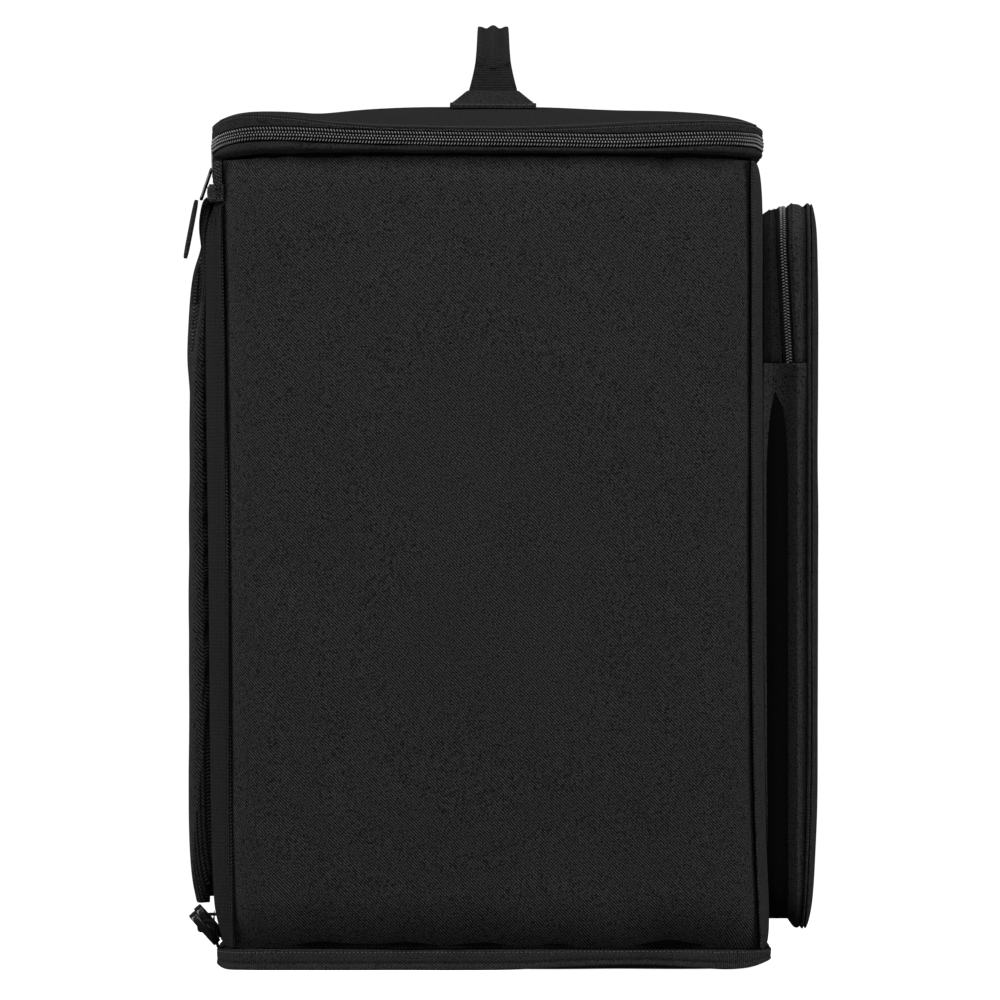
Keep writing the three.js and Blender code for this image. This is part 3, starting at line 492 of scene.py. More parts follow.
def hump(tree, count):
    """0 at the edges of a thread and 1 on its crown."""
    turn = maths(tree, "MULTIPLY", maths(tree, "FRACT", count), math.pi)
    return maths(tree, "SINE", turn)


def blend_of(tree, share, low, high):
    span = maths(tree, "SUBTRACT", high, low)
    return maths(tree, "MULTIPLY_ADD", share, span, low)


def speckle(tree, size, detail=3.0):
    place = tree.nodes.new("ShaderNodeTexCoord")
    made = tree.nodes.new("ShaderNodeTexNoise")
    made.inputs["Scale"].default_value = 1 / size
    made.inputs["Detail"].default_value = detail
    tree.links.new(place.outputs["Object"], made.inputs["Vector"])
    return made.outputs["Fac"]


def tone(tree, share, dark, light):
    """A grey between two tones, as a colour socket."""
    ramp = tree.nodes.new("ShaderNodeMix")
    ramp.data_type = "RGBA"
    tree.links.new(share, ramp.inputs[0])
    ramp.inputs[6].default_value = (*dark, 1)
    ramp.inputs[7].default_value = (*light, 1)
    return ramp.outputs[2]


def raise_up(tree, shader, height, distance):
    bump = tree.nodes.new("ShaderNodeBump")
    bump.inputs["Strength"].default_value = 1.0
    bump.inputs["Distance"].default_value = distance
    tree.links.new(height, bump.inputs["Height"])
    tree.links.new(bump.outputs[0], shader.inputs["Normal"])


# %% [markdown]
# ### Twill
# The body is a black polyester twill: each thread passes over two and under two, one step further
# in each row, which draws fine diagonal lines. A stripe texture would draw the lines without the
# threads, so the tree counts warp and weft threads and asks which of the two lies on top.

# %% Twill
def make_twill(name, thread, dark, light, relief, grain=0.9 * MM, roughness=0.8):
    finish, tree, shader = begin(name, Specular_IOR_Level=0.1, Sheen_Weight=0.02, Sheen_Roughness=0.5)
    warp, weft = weave_place(tree, thread, abs(thread))
    steps = maths(tree, "SUBTRACT", maths(tree, "FLOOR", warp), maths(tree, "FLOOR", weft))
    turn = maths(tree, "FRACT", maths(tree, "DIVIDE", maths(tree, "ADD", steps, 0.5), 4.0))
    warp_up = maths(tree, "LESS_THAN", turn, 0.5)
    height = blend_of(tree, warp_up, maths(tree, "MULTIPLY", hump(tree, weft), 0.15), hump(tree, warp))
    fuzz = speckle(tree, grain, 2.0)
    broad = speckle(tree, 0.055, 4.0)
    # Tone follows the threads' height: the crowns of the warp floats are lighter, a painted sheen, and the
    # grooves and the weft are darker, painted shade; fuzz and broad add random tone.
    share = maths(tree, "MULTIPLY", height, maths(tree, "MULTIPLY_ADD", fuzz, 4.4, -1.2))
    share = maths(tree, "MULTIPLY", share, maths(tree, "MULTIPLY_ADD", broad, 0.4, 0.8))
    tree.links.new(tone(tree, share, dark, light), shader.inputs["Base Color"])
    rough = maths(tree, "MULTIPLY_ADD", broad, 0.1, roughness - 0.05)
    tree.links.new(rough, shader.inputs["Roughness"])
    raise_up(tree, shader, height, relief)
    return finish


BLACK = (0.0005, 0.0005, 0.0005)
twill = make_twill("black_twill", -0.41 * MM, BLACK, (0.083, 0.083, 0.085), 0.16 * MM)
smooth_twill = make_twill("fine_twill", -0.3 * MM, BLACK, (0.06, 0.06, 0.061), 0.08 * MM)
strap_twill = make_twill("strap_twill", -0.5 * MM, BLACK, (0.1, 0.1, 0.102), 0.25 * MM)
# The lid's top is a darker copy of the body twill: painted shade that tones down the overhead lamp on the top.
lid_twill_painted_shade = make_twill("lid_twill_painted_shade", -0.41 * MM, BLACK, (0.047, 0.047, 0.048), 0.16 * MM)
pocket_twill = make_twill("pocket_twill", -0.3 * MM, BLACK, (0.1, 0.1, 0.102), 0.08 * MM)
lining = make_twill("plain_lining", 0.3 * MM, BLACK, (0.01, 0.01, 0.011), 0.06 * MM)


# %% [markdown]
# ### Webbing
# Heavy webbing shows rows of plump ribs. Each rib is a row of short floats, and every second row
# is shifted by half a float. The same tree serves the base band and the handle with its directions
# exchanged, because a rib always lies across the length of the webbing.

# %% Webbing
def make_webbing(name, rib, float_length, dark, light, relief, across=False, roughness=0.72):
    finish, tree, shader = begin(name, Specular_IOR_Level=0.15, Sheen_Weight=0.02, Sheen_Roughness=0.5)
    pitches = (float_length, rib) if across else (rib, float_length)
    counts = weave_place(tree, *pitches)
    ribs, floats = (counts[1], counts[0]) if across else counts
    odd = maths(tree, "FRACT", maths(tree, "DIVIDE", maths(tree, "FLOOR", ribs), 2.0))
    shifted = maths(tree, "ADD", floats, odd)
    bulge = maths(tree, "MULTIPLY_ADD", hump(tree, shifted), 0.6, 0.4)
    height = maths(tree, "MULTIPLY", hump(tree, ribs), bulge)
    broad = speckle(tree, 0.02, 4.0)
    fuzz = speckle(tree, 0.0007, 2.0)
    # Tone follows the ribs' height: the crowns of the floats are lighter, a painted sheen, and the grooves
    # between ribs are darker, painted shade; fuzz and broad add random tone.
    share = maths(tree, "MULTIPLY", height, maths(tree, "MULTIPLY_ADD", fuzz, 4.0, -1.1))
    share = maths(tree, "MULTIPLY", share, maths(tree, "MULTIPLY_ADD", broad, 0.8, 0.6))
    tree.links.new(tone(tree, share, dark, light), shader.inputs["Base Color"])
    tree.links.new(maths(tree, "MULTIPLY_ADD", fuzz, 0.12, roughness - 0.06), shader.inputs["Roughness"])
    raise_up(tree, shader, height, relief)
    return finish


band_webbing = make_webbing("ribbed_band", 1.0 * MM, 1.4 * MM, BLACK, (0.052, 0.052, 0.053), 0.25 * MM)
grip_webbing = make_webbing("grip_webbing", 1.0 * MM, 1.9 * MM, BLACK, (0.03, 0.03, 0.031), 0.3 * MM,
                            across=True)
strap_webbing = make_webbing("strap_webbing", 0.8 * MM, 1.2 * MM, BLACK, (0.07, 0.07, 0.072), 0.2 * MM,
                             across=True)


# %% [markdown]
# ### Air mesh
# The pad that touches the wearer and the inside of the straps are a spacer mesh. Its yarns run in
# chevrons, with rows of holes where they turn. A zigzag added to the height of each row bends the
# rows into chevrons, and the yarn sinks at each turn, which leaves the holes. The tone follows the
# yarn's height: the crowns are lighter, a painted highlight, and the holes black, painted shade.

# %% Air mesh
def make_air_mesh(name, column, row):
    finish, tree, shader = begin(name, Specular_IOR_Level=0.12, Sheen_Weight=0.03, Sheen_Roughness=0.5)
    across, up = weave_place(tree, column, row)
    zigzag = maths(tree, "ABSOLUTE", maths(tree, "SUBTRACT", maths(tree, "FRACT", across), 0.5))
    rows = maths(tree, "MULTIPLY_ADD", zigzag, 2.6, up)
    turns = hump(tree, maths(tree, "MULTIPLY", across, 2.0))
    height = maths(tree, "MULTIPLY", hump(tree, rows), maths(tree, "MULTIPLY_ADD", turns, 0.85, 0.15))
    fuzz = speckle(tree, 0.8 * MM, 2.0)
    # Painted highlight on the yarn's crowns and painted shade in the holes; fuzz adds random tone.
    painted_lit_crowns = maths(tree, "POWER", height, 2.2)
    share = maths(tree, "MULTIPLY", painted_lit_crowns, maths(tree, "MULTIPLY_ADD", fuzz, 3.0, -0.5))
    tree.links.new(tone(tree, share, BLACK, (0.07, 0.07, 0.072)), shader.inputs["Base Color"])
    shader.inputs["Roughness"].default_value = 0.85
    raise_up(tree, shader, height, 1.2 * MM)
    return finish


air_mesh = make_air_mesh("air_mesh", 4.0 * MM, 1.8 * MM)


# %% [markdown]
# ### Zip, thread, plastic and metal
# The teeth are a hard nylon with a clear sheen, black, and their light grey is a painted glint. Their
# tape is a tight knit, painted far darker than the cloth for painted shade between the teeth, and thread
# is a twisted yarn, painted lighter than black for a painted glint on each stitch. The buckles are
# moulded and glossy, the wire loop is steel. Each gets a little unevenness in tone and roughness, since
# nothing moulded or drawn is perfectly even. The pocket is sewn with a duller, plain black thread,
# without the lid's painted glint, and its rows show dark.

# %% Hard finishes
def make_hard(name, dark, light, roughness, grain, specular, metallic=0.0, coat=0.0):
    finish, tree, shader = begin(name, Specular_IOR_Level=specular, Metallic=metallic, Coat_Weight=coat)
    fine = speckle(tree, grain, 4.0)
    broad = speckle(tree, grain * 25, 3.0)
    tree.links.new(tone(tree, broad, dark, light), shader.inputs["Base Color"])
    tree.links.new(maths(tree, "MULTIPLY_ADD", fine, 0.2, roughness - 0.1), shader.inputs["Roughness"])
    raise_up(tree, shader, fine, 0.02 * MM)
    return finish


# The coil is black and glossy; its light grey colour is a painted glint.
coil_painted_glint = make_hard("zip_coil", (0.18, 0.18, 0.183), (0.3, 0.3, 0.304), 0.25, 0.4 * MM, 0.9, coat=0.5)
# The stitch thread is black; its lighter grey is a painted glint on each stitch.
thread = make_hard("black_thread_painted_glint", (0.06, 0.06, 0.061), (0.12, 0.12, 0.122), 0.55, 0.3 * MM, 0.4)
dull_thread = make_hard("dull_thread", (0.004, 0.004, 0.004), (0.01, 0.01, 0.01), 0.7, 0.3 * MM, 0.2)
moulded = make_hard("moulded_plastic", (0.003, 0.003, 0.003), (0.008, 0.008, 0.0085), 0.22, 0.5 * MM,
                    0.6, coat=0.6)
steel = make_hard("dark_steel", (0.05, 0.05, 0.052), (0.1, 0.1, 0.102), 0.35, 0.2 * MM, 0.5, metallic=1.0)
# The tape is painted far darker than the cloth, so the gaps between the teeth show painted shade.
tape_painted_shade = make_webbing("zip_tape_painted_shade", 0.5 * MM, 0.5 * MM, BLACK, (0.008, 0.008, 0.0085), 0.08 * MM)

# %% [markdown]
# ## Body panels
# Two padded sides, a front and a back make the box of the bag. On the real bag each is cloth over
# foam, turned in at its edges. They are rounded copies of the frame. The sides and the front are
# swelled between their seams and uneven all over by a fraction of a millimetre, and the sides are
# rippled a little where the lid is sewn on; the back is only rounded.

# %% Side panels
panel_low, panel_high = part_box("side_panel_near")


def edge_line(x_from, x_to, y, z_from, z_to, steps=200):
    start, end = Vector((x_from, y, z_from)), Vector((x_to, y, z_to))
    return [start.lerp(end, k / steps) for k in range(steps + 1)]


def turned_in(distance, reach, radius):
    """How far a round edge falls back, at a distance from the seam that it runs into."""
    way = max(0.0, reach - distance)
    return radius - math.sqrt(radius * radius - min(way, radius) ** 2)


def tuck(panel, side):
    """Foot and top fall back to their seams, the top in scallops where the zip pulls at it."""
    for corner in panel.data.vertices:
        outer = fade(abs(corner.co.y), 0.141, 0.157)
        wave = noise.noise(Vector((corner.co.x / (34 * MM), 0, side)))
        foot = turned_in(corner.co.z - panel_low.z, (27 + 5 * wave) * MM, 42 * MM)
        scallop = noise.noise(Vector((corner.co.x / (15 * MM), 3, side))) * fade(corner.co.x, 0.02, 0.08)
        top = turned_in(panel_high.z - corner.co.z, (13 + 8 * abs(scallop) + 3 * wave) * MM, 22 * MM)
        corner.co.y -= side * outer * (foot + top)


def side_panel(side, name):
    node = "side_panel_near" if side < 0 else "side_panel_far"
    panel = sewn(node, name, 1, crease=0.3)
    swell(panel, rim_hold(node, 16 * MM, (0, 2)), 0.3, 1.2 * MM)
    soften(panel, 2)
    tuck(panel, side)
    y = side * 0.155
    top = edge_line(panel_low.x, panel_high.x, y, panel_high.z, panel_high.z)
    foot = edge_line(panel_low.x, panel_high.x, y, panel_low.z, panel_low.z)
    ripple(panel, top, 26 * MM, 2.0 * MM, 11 * MM, 3.0 * side)
    ripple(panel, foot, 22 * MM, 1.6 * MM, 16 * MM, 7.0 * side)
    rumple(panel, 60 * MM, 0.6 * MM, 5.0 * side)
    return dress(panel, twill, round_body)


near_side = side_panel(-1, "near_side_panel")
far_side = side_panel(1, "far_side_panel")
print("side panel faces", len(near_side.data.polygons))

# %% [markdown]
# ### Lining
# Thin dark lining closes the bag inside the foam, so that no light comes through a seam. It is a
# rounded box of cloth: a filled ring is drawn upwards into a closed box.

# %% Lining
lining_inset, lining_top = 11 * MM, 0.412
ring = bmesh.new()
bmesh.ops.create_circle(ring, cap_ends=True, segments=96, radius=1)
inner = Loop(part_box("side_panel_near")[0].x + 4 * MM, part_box("side_panel_near")[1].x, BODY.half, BODY.radius)
for k, corner in enumerate(ring.verts):
    way = inner.length * (0.5 - k / 96)
    corner.co = inner.spot(way, -lining_inset)[0] + Vector((0, 0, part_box("base_band")[1].z + 2 * MM))
wall = bmesh.ops.extrude_face_region(ring, geom=ring.faces[:])
lifted = [part for part in wall["geom"] if isinstance(part, bmesh.types.BMVert)]
for corner in lifted:
    corner.co.z = lining_top
bmesh.ops.recalc_face_normals(ring, faces=ring.faces)
lining_piece = hang("inner_lining", ring)
dress(lining_piece, lining, round_body)

sheet = bmesh.new()
bmesh.ops.create_circle(sheet, cap_ends=True, segments=96, radius=1)
pocket_back, pocket_face_at = 0.1328, 0.1538
for k, corner in enumerate(sheet.verts):
    corner.co = POCKET.spot(POCKET.length * (0.5 - k / 96), -5.5 * MM)[0] + Vector((pocket_back, 0, 0))
wall = bmesh.ops.extrude_face_region(sheet, geom=sheet.faces[:])
for part in wall["geom"]:
    if isinstance(part, bmesh.types.BMVert):
        part.co.x = pocket_face_at
bmesh.ops.recalc_face_normals(sheet, faces=sheet.faces)
dress(hang("pocket_lining", sheet), lining, round_pocket)

# %% Front and back
front = sewn("front_panel", "front_panel_cloth", 1, crease=0.3)
swell(front, rim_hold("front_panel", 16 * MM, (1, 2)), 0.3, 1.0 * MM)
soften(front, 2)
rumple(front, 60 * MM, 0.4 * MM, 11.0)
dress(front, twill, round_body)

back = sewn("back_panel", "back_panel_cloth", 3, crease=0.6)
dress(back, twill, round_body)

# %% [markdown]
# ## Base
# A padded floor closes the bag, and a band of ribbed webbing is folded over its seam. The band
# could be swept along the seam. It is a copy of its frame part, cut into narrow loops, because two
# creases then show where the fold and its stitches press it in.

# %% Floor and base band
floor_cloth = sewn("floor_panel", "padded_floor", 2, crease=0.3)
rumple(floor_cloth, 50 * MM, 0.5 * MM, 2.0)
dress(floor_cloth, twill, on_top)

band = sewn("base_band", "ribbed_base_band", 2, crease=0.85, cuts=5)
draw_in(band, row_along("base_band", BASE, 0.32), 0.9 * MM, 0.6 * MM)
draw_in(band, row_along("base_band", BASE, 0.9), 0.9 * MM, 0.4 * MM)
rumple(band, 24 * MM, 0.3 * MM, 4.0)
dress(band, band_webbing, round_body)


# %% [markdown]
# ### Stitches
# A stitch is a short bead of thread, and a seam is a row of them. A texture could show them from
# far off. Beads that are set on the cloth catch the light one by one, as in the photograph.

# %% Sew
stitch_bead = bead_of([((0, 0, 0), (1.3, 0.62, 0.55), 0)])
short_bead = bead_of([((0, 0, 0), (0.85, 0.62, 0.55), 0)])


def sew(name, rows, skin, pitch=2.1 * MM, bead=stitch_bead, yarn=thread):
    frames = [(set_on(skin, point, along, 0.1 * MM), bead)
              for row in rows for point, along in spaced(row, pitch)]
    print(name, len(frames), "stitches")
    return dress(string(name, frames), yarn, round_body)


sew("base_stitches", [row_along("base_band", BASE, 0.88)], skin_of(band))

# %% [markdown]
# ## Lid
# The lid is a soft top sewn to a narrow side band, with the zip below and a plump roll under it.
# The roll could be left round. Its lower half is turned in under the zip, because the real one
# leaves a dark gap over the side panel.

# %% Lid top, side band, tape and roll
lid = sewn("lid_top", "lid_top_cloth", 2, crease=0.4)
soften(lid, 1)
rumple(lid, 45 * MM, 0.7 * MM, 8.0)
dress(lid, lid_twill_painted_shade, on_top)

lid_band = sewn("lid_gusset", "lid_side_band", 2, crease=0.5, cuts=3)
draw_in(lid_band, row_along("lid_gusset", BODY, 1.0, up=-1.6 * MM), 1.2 * MM, 0.5 * MM)
dress(lid_band, smooth_twill, round_body)
lid_skin = skin_of(lid, lid_band)
sew("lid_stitches", [row_along("lid_gusset", BODY, 1.0, up=-1.4 * MM),
                     row_along("lid_gusset", BODY, 1.0, out=-5.0 * MM, up=1.5 * MM)], lid_skin, 1.43 * MM,
    short_bead)

lid_tape = sewn("lid_zip", "lid_zip_tape", 2, crease=0.7)
dress(lid_tape, tape_painted_shade, round_body)

roll = sewn("zip_roll", "roll_under_zip", 2, crease=0.2)
roll_rows = band_edges("zip_roll", BODY)
for corner in roll.data.vertices:
    way = BODY.measure(corner.co) * (-1 if corner.co.y > 0 else 1)
    _, foot, top = min(roll_rows, key=lambda row: abs(row[0] - way))
    under = fade(corner.co.z, foot + 0.55 * (top - foot), foot - 0.5 * MM)
    corner.co -= BODY.spot(way)[1] * (3.0 * MM * under)
    corner.co.z += 1.0 * MM * under
rumple(roll, 14 * MM, 0.4 * MM, 21.0)
dress(roll, smooth_twill, round_body)

# %% [markdown]
# ### Zip teeth
# A coil zip shows two rows of heads that meet in a zigzag, and outside them the slanted legs of
# the coil. One bead holds a head and a leg. The upper and the lower row are mirror images, half a
# tooth apart, and the beads are set on the tape so that the row turns round the corners with it.
# The pocket's coil is finer, and shows long heads alone.

# %% Two rows of teeth
tooth_pitch = 1.53 * MM
upper_tooth = bead_of([((0, 0.66, 0.35), (0.8, 1.1, 1.1), 0),
                       ((-0.35, 2.5, 0.15), (0.6, 1.8, 1.0), 28)])
lower_tooth = bead_of([((0, -0.72, 0.35), (0.85, 1.25, 1.1), 0),
                       ((-0.35, -2.6, 0.15), (0.55, 1.8, 1.0), -28)])
near_head = bead_of([((0, 0.8, 0.3), (0.75, 1.9, 1.0), 18)])
far_head = bead_of([((0, -0.8, 0.3), (0.75, 1.9, 1.0), -18)])


def teeth(name, path, skin, pair=(upper_tooth, lower_tooth)):
    places = spaced(path, tooth_pitch / 2)
    frames = [(set_on(skin, point, along, 0.15 * MM), pair[k % 2])
              for k, (point, along) in enumerate(places)]
    print(name, len(frames), "teeth")
    return dress(string(name, frames), coil_painted_glint, round_body)


teeth("lid_zip_teeth", row_along("lid_zip", BODY, 0.5, out=-0.5 * MM), skin_of(lid_tape))

# %% [markdown]
# ## Handle
# A length of webbing, folded on itself in the middle, is sewn to two patches on the lid. The fold
# could be a second piece. A step in one surface shows the same edge and has no gap to hide.

# %% Handle and patches
grip_low, grip_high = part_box("handle")


def around_grip(point, normal, middle):
    """Across the webbing, and on along its arch, whose half is about 75 mm long."""
    rise = max(0.0, point.z - grip_low.z) / (grip_high.z - grip_low.z)
    return point.x, 48 * MM * math.atan2(rise, abs(point.y) / grip_high.y)


def fold_grip(piece):
    """The fold's edge hangs in a shallow curve, and over it the webbing lies in ridges."""
    middle, half_width, fold_drop, fold_sag = -3.2 * MM, 9 * MM, 22 * MM, 3.2 * MM

    def by(point, normal):
        aside = (point.x - middle) / half_width
        edge = grip_high.z - fold_drop + fold_sag * aside * aside
        folded = fade(point.z, edge - 0.4 * MM, edge + 0.4 * MM)
        ridges = 0.7 * math.cos(aside * 2.4 * math.pi) * folded
        side = fade(abs(normal.x), 0.8, 0.4)
        return side * (0.7 * folded + ridges) * MM

    return shift(piece, by)


grip = fold_grip(sewn("handle", "webbing_handle", 3, crease=0.3))
dress(grip, grip_webbing, around_grip)


def handle_patch(side):
    """The patch is drawn up round the foot of the handle, and sewn round its edge."""
    node = f"handle_patch_{side}"
    patch = sewn(node, f"{side}_handle_patch", 4, crease=0.8)
    low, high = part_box(node)
    middle = (low + high) / 2
    foot_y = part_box("handle")[0].y if side == "near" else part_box("handle")[1].y
    for corner in patch.data.vertices:
        aside = min(1.0, max(0.0, (21 * MM - abs(corner.co.x - middle.x)) / (8 * MM)))
        near = max(0.0, 1 - abs(corner.co.y - foot_y) / (7 * MM))
        corner.co.z += 6.5 * MM * aside * near ** 1.3
    dress(patch, smooth_twill, on_top)
    edge = 2.2 * MM
    ring = [Vector((x, y, high.z)) for x, y in (
        (low.x + edge, low.y + edge), (high.x - edge, low.y + edge), (high.x - edge, high.y - edge),
        (low.x + edge, high.y - edge), (low.x + edge, low.y + edge))]
    sew(f"{side}_patch_stitches", [ring], skin_of(patch), 2.6 * MM)


handle_patch("near")
handle_patch("far")

# %% [markdown]
# ## Harness
# A mesh pad lies on the back. The shoulder straps hang from a sewn strip and end in buckles. They
# could be draped by a simulation. Their frame parts already lie on the pad as photographed, so
# only what the strip and the wearer's side do to them is added: gathers, and a pressed inner face.

# %% Pad, strip, straps, buckles and webbing
def edge_line_y(low, high, lift):
    steps = 150
    return [Vector((low.x, high.y + (low.y - high.y) * k / steps, low.z + lift)) for k in range(steps + 1)]


pad = sewn("back_pad", "mesh_back_pad", 1, crease=0.3)
swell(pad, rim_hold("back_pad", 14 * MM, (1, 2)), 0.2, 0.8 * MM)
soften(pad, 2)
pad_low, pad_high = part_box("back_pad")
strip_low, strip_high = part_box("strap_anchor")
for corner in pad.data.vertices:
    full = fade(corner.co.z, pad_low.z + 2 * MM, 34 * MM)
    full *= fade(corner.co.z, pad_high.z, pad_high.z - 16 * MM)
    corner.co.x -= 1.8 * MM * full * fade(abs(corner.co.y), 0.146, 0.12) * fade(corner.co.x, -0.136, -0.14)
    corner.co.x += 1.6 * MM * fade(corner.co.x, -0.138, -0.1345) * fade(abs(corner.co.y), 0.13, 0.14)
gather = edge_line_y(strip_low, strip_high, -1 * MM)
ripple(pad, gather, 30 * MM, 3.4 * MM, 4.5 * MM, 9.0)
dress(pad, air_mesh, on_back)
strip = sewn("strap_anchor", "strap_anchor_strip", 3, crease=0.7)
for corner in strip.data.vertices:
    turned = fade(abs(corner.co.y), 0.14, 0.1475) * fade(corner.co.x, strip_low.x, strip_high.x)
    corner.co.x += 5.5 * MM * turned
dress(strip, strap_webbing, on_back)
strip_rows = []
for lift in (1.7 * MM, 7.3 * MM):
    strip_rows.append(edge_line_y(strip_low, strip_high, lift))
    for y in (strip_low.y, strip_high.y):
        strip_rows.append([Vector((strip_low.x + k * MM, y, strip_low.z + lift)) for k in range(9)])
sew("anchor_stitches", strip_rows, skin_of(strip), 1.7 * MM, short_bead)


STRAP_TOP, STRAP_FOOT = 0.384, 0.045  # heights between which the straps lie
ON_PAD, OFF_PAD = -0.145, -0.151  # the face on the pad, and where it stops being pressed
TWILL_EDGE, TWILL_TOP = -0.1486, 0.335  # twill lies behind this place and below this height


def shoulder_strap(side):
    """Twill on the outer face and mesh towards the wearer, joined along the edge."""
    node = f"shoulder_strap_{side}"
    strap = sewn(node, f"{side}_shoulder_strap", 2, crease=0.35)
    soften(strap, 1)
    for corner in strap.data.vertices:
        pressed = fade(corner.co.x, OFF_PAD, ON_PAD) * fade(corner.co.z, STRAP_TOP, STRAP_TOP - 10 * MM)
        corner.co.x += 3.4 * MM * pressed * fade(corner.co.z, STRAP_FOOT, STRAP_FOOT + 15 * MM)
        corner.co.z += 2.5 * MM * fade(corner.co.z, STRAP_TOP - 8 * MM, STRAP_TOP)
        corner.co.z -= 7 * MM * fade(corner.co.z, STRAP_FOOT + 55 * MM, STRAP_FOOT)
    rumple(strap, 30 * MM, 0.5 * MM, 31.0)
    ripple(strap, gather, 34 * MM, 3.0 * MM, 4.5 * MM, 5.0)
    dress(strap, air_mesh, on_back)
    strap.data.materials.append(strap_twill)
    for face in strap.data.polygons:
        edge = TWILL_EDGE - 5 * MM * fade(face.center.z, 0.12, 0.05)
        face.material_index = 1 if face.center.x < edge and face.center.z < TWILL_TOP else 0
    return strap


def lean_buckle(buckle, node):
    """The buckle hangs a little lower than it was built, and leans in towards the bag."""
    low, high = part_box(node)
    middle = (low + high) / 2
    turn = Matrix.Rotation(math.radians(-41), 4, "Y")
    hung = Matrix.Translation(middle + Vector((2.2 * MM, 0, -9.5 * MM)))
    buckle.data.transform(hung @ turn @ Matrix.Translation(-middle))


for side in ("near", "far"):
    shoulder_strap(side)
    buckle = sewn(f"buckle_{side}", f"{side}_ladder_buckle", 2, crease=0.85)
    lean_buckle(buckle, f"buckle_{side}")
    dress(buckle, moulded, on_back)
    web = sewn(f"strap_web_{side}", f"{side}_strap_webbing", 3, crease=0.7)
    for corner in web.data.vertices:
        hung = fade(corner.co.x, -0.1425, -0.1465) * fade(corner.co.z, 0.07, 0.045)
        corner.co.z -= 8 * MM * hung * fade(corner.co.z, 0.012, 0.024)
        corner.co.x += 2.2 * MM * hung
    dress(web, strap_webbing, on_back)

# %% [markdown]
# ## Pocket
# A flat pocket covers the front: a padded face, a corded seam, and a side strip that the zip
# divides in two. Cloth could be simulated into its strips. They follow two small tables of depths
# instead, because their folds are sewn and pressed and look the same on each bag.

# %% Pocket pieces
face = sewn("pocket_front", "pocket_face", 2, crease=0.3)
soften(face, 1)
rumple(face, 50 * MM, 0.5 * MM, 14.0)
dress(face, twill, round_pocket)
piping = sewn("pocket_piping", "pocket_corded_seam", 2, crease=0.0)
dress(piping, twill, round_pocket)


# How far the strips fall back between the bag and the pocket's face: x, and depth, both in mm
LOWER_WALL = ((132.3, 1.5), (136.0, 4.0), (142.0, 4.5), (147.0, 0.8), (149.5, 0.0), (154.0, 2.4))
UPPER_WALL = ((132.3, 1.5), (135.0, 0.5), (138.6, 0.9), (144.6, 1.2), (146.5, 0.0), (150.0, 0.3),
              (154.0, 2.6))
zip_low, zip_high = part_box("pocket_zip")
zip_top = POCKET.high - POCKET.radius


def look_up(table, x):
    x = min(max(x / MM, table[0][0]), table[-1][0])
    for (x0, d0), (x1, d1) in zip(table, table[1:]):
        if x <= x1:
            return (d0 + (d1 - d0) * (x - x0) / (x1 - x0)) * MM
    return 0.0


def slant(point):
    """The zip leans towards the pocket's face as it runs down."""
    down = min(1.0, max(0.0, (zip_top - point.z) / (zip_top - zip_low.z)))
    if point.x < zip_low.x:
        share = (point.x - 0.1324) / (zip_low.x - 0.1324)
    else:
        share = min(1.0, (0.1539 - point.x) / (0.1539 - zip_high.x))
    return Vector((3.2 * MM * down * max(0.0, share), 0, 0))


def pocket_strip(node, name, finish, wall):
    """Below the zip's end a strip starts nearly flat, with a small lip, and sinks as it runs down."""
    made = sewn(node, name, 2, crease=0.6, cuts=3, across=(1, 0, 0))
    for corner in made.data.vertices:
        way = POCKET.measure(corner.co)
        out = POCKET.spot(way if corner.co.y < 0 else -way)[1]
        lip, sunk = 0, 1
        if wall is LOWER_WALL:
            lip = 0.9 * MM * fade(corner.co.z, zip_low.z - 3 * MM, zip_low.z - 1.5 * MM)
            sunk = fade(corner.co.z, zip_low.z - 4 * MM, zip_low.z - 60 * MM)
        corner.co -= out * (look_up(wall, corner.co.x) * (0.2 + 0.8 * sunk) - lip)
        if wall is UPPER_WALL:
            corner.co += slant(corner.co)
    return dress(made, finish, round_pocket)


outer_strip = pocket_strip("pocket_outer_strip", "pocket_outer_cloth", pocket_twill, UPPER_WALL)
inner_strip = pocket_strip("pocket_inner_strip", "pocket_inner_cloth", smooth_twill, UPPER_WALL)
pocket_tape = pocket_strip("pocket_zip", "pocket_zip_tape", tape_painted_shade, UPPER_WALL)
lower_strip = pocket_strip("pocket_lower_strip", "pocket_lower_cloth", pocket_twill, LOWER_WALL)
strips = skin_of(outer_strip, inner_strip, lower_strip)


def leaned(path):
    return [point + slant(point) for point in path]


def cross_row(side, down):
    """A short row across the strip, under the zip's end."""
    height = zip_low.z - down
    return [Vector(((135.5 + 0.4 * k) * MM, side * POCKET.half, height)) for k in range(42)]


pocket_rows = [leaned(row_along("pocket_inner_strip", POCKET, 0.42)),
               leaned(row_along("pocket_inner_strip", POCKET, 0.88)),
               leaned(row_along("pocket_outer_strip", POCKET, 0.22))]
pocket_rows += [cross_row(side, down * MM) for side in (-1, 1) for down in (2.8, 7.2)]
sew("pocket_stitches", pocket_rows, strips, 1.9 * MM, yarn=dull_thread)
teeth("pocket_zip_teeth", leaned(row_along("pocket_zip", POCKET, 0.5)), skin_of(pocket_tape),
      (near_head, far_head))

# %% [markdown]
# ## Sliders and pulls
# Each zip has a slider with a pull: the lid's is a thin wire loop and a braided tab, the pocket's a
# short tab. They could be turned and hung anew. The frame has them in place, so each is rounded
# and moved the few millimetres that bring it to where the photograph shows it.

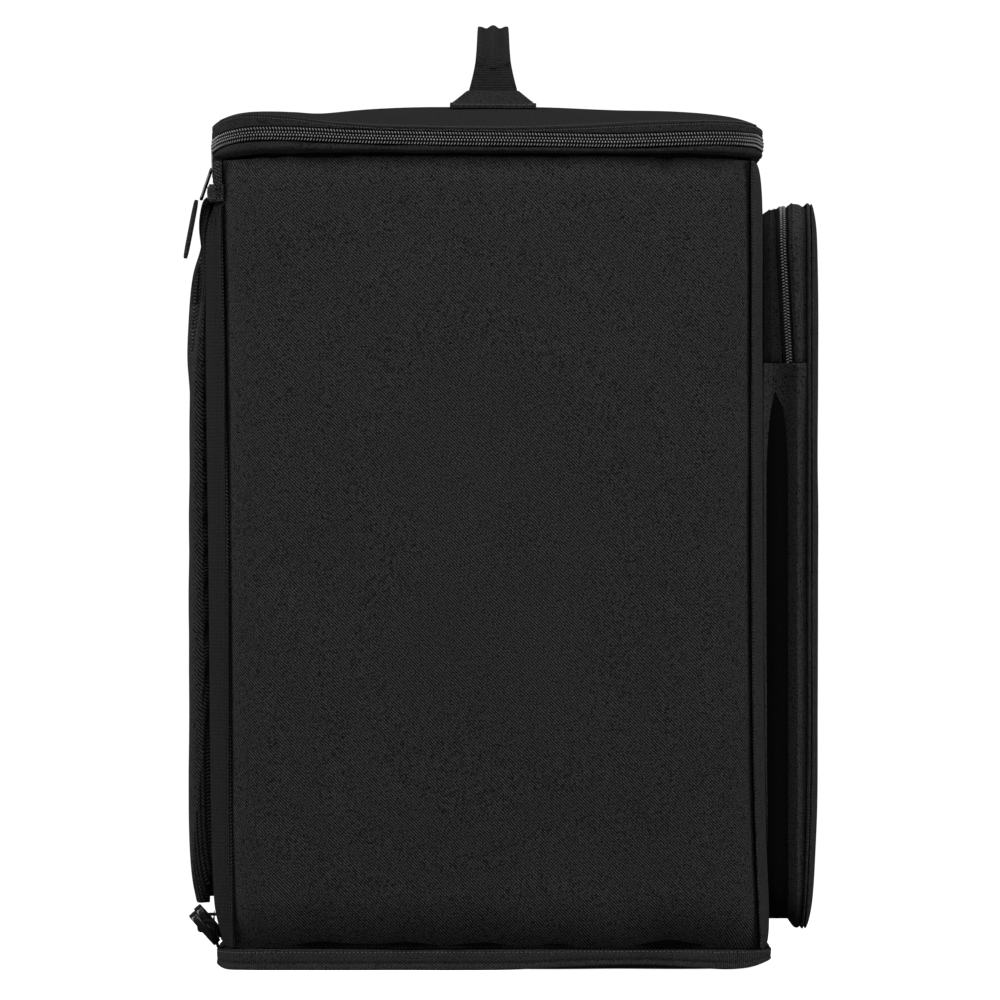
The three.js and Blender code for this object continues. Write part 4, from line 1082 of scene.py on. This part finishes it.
# Sliders, wire and tabs
# Frame part, name, finish, slot, and how far it is moved in x and z, in mm
PULLS = (("pocket_slider", "pocket_zip_slider", steel, "metal", 0, 0),
         ("lid_slider", "lid_zip_slider", moulded, "metal", 3.2, -1.0),
         ("lid_pull_wire", "lid_wire_loop", moulded, "metal", 3.8, -1.6),
         ("pocket_pull", "pocket_pull_tab", strap_webbing, "webbing", 0, 0),
         ("lid_pull_tab", "lid_cord_tab", strap_webbing, "webbing", 1.6, -1.0))
for node, name, finish, slot, aside, up in PULLS:
    made = sewn(node, name, 2, crease=0.5)
    made.data.transform(Matrix.Translation((aside * MM, 0, up * MM)))
    if node == "lid_pull_wire":
        shift(made, lambda point, normal: 0.25 * MM)
    dress(made, finish, on_back)

# %% [markdown]
# ## Studio
# The bag was photographed from far away with a long lens, straight at its near side, on white. A
# camera twelve metres off gives the same nearly parallel view. The sky is white for the camera
# and dim for the cloth, so that the large soft lamps alone shape the black panels.

# %% Camera, lamps and floor
distance = 12.0
eye = bpy.data.cameras.new("long_lens")
eye.lens, eye.sensor_width = 864, 36
eye.clip_start, eye.clip_end = 0.1, 80
camera = bpy.data.objects.new("long_lens", eye)
camera.location = (0.3 * MM, panel_low.y - distance, 235.2 * MM)
camera.rotation_euler = (math.pi / 2, 0, 0)
scene.collection.objects.link(camera)
scene.camera = camera


def lamp(name, place, target, width, height, power):
    light = bpy.data.lights.new(name, "AREA")
    light.shape, light.size, light.size_y, light.energy = "RECTANGLE", width, height, power
    made = bpy.data.objects.new(name, light)
    made.location = place
    made.rotation_euler = (Vector(target) - Vector(place)).to_track_quat("-Z", "Y").to_euler()
    made.visible_camera = False
    scene.collection.objects.link(made)


lamp("overhead", (0, -0.5, 1.7), (0, 0, 0.2), 1.6, 1.4, 13)
lamp("left", (-1.5, -0.7, 0.6), (0, 0, 0.2), 1.0, 1.4, 17)
lamp("right", (1.5, -0.7, 0.6), (0, 0, 0.2), 1.0, 1.4, 15)
lamp("front", (0, -2.4, 1.5), (0, 0, 0.2), 1.8, 1.2, 13)

sky = bpy.data.worlds.new("studio_white")
scene.world = sky
sky.use_nodes = True
ways = sky.node_tree.nodes.new("ShaderNodeLightPath")
glow = sky.node_tree.nodes["Background"]
glow.inputs["Color"].default_value = (1, 1, 1, 1)
level = sky.node_tree.nodes.new("ShaderNodeMath")
level.operation = "MULTIPLY_ADD"
sky.node_tree.links.new(ways.outputs["Is Camera Ray"], level.inputs[0])
level.inputs[1].default_value = 1.0
level.inputs[2].default_value = 0.05
sky.node_tree.links.new(level.outputs[0], glow.inputs["Strength"])
scene.view_settings.view_transform = "Standard"

ground = bmesh.new()
bmesh.ops.create_circle(ground, cap_ends=True, segments=96, radius=2.5)
floor = hang("pale_floor", ground)
pale, pale_tree, pale_shader = begin("pale_floor", Roughness=0.9, Specular_IOR_Level=0.1)
pale_tree.links.new(tone(pale_tree, speckle(pale_tree, 0.3), (0.88, 0.88, 0.88), (0.92, 0.92, 0.92)),
                    pale_shader.inputs["Base Color"])
pale_shader.inputs["Emission Color"].default_value = (1, 1, 1, 1)
pale_shader.inputs["Emission Strength"].default_value = 0.95
floor.data.materials.append(pale)
floor.visible_diffuse = floor.visible_glossy = False
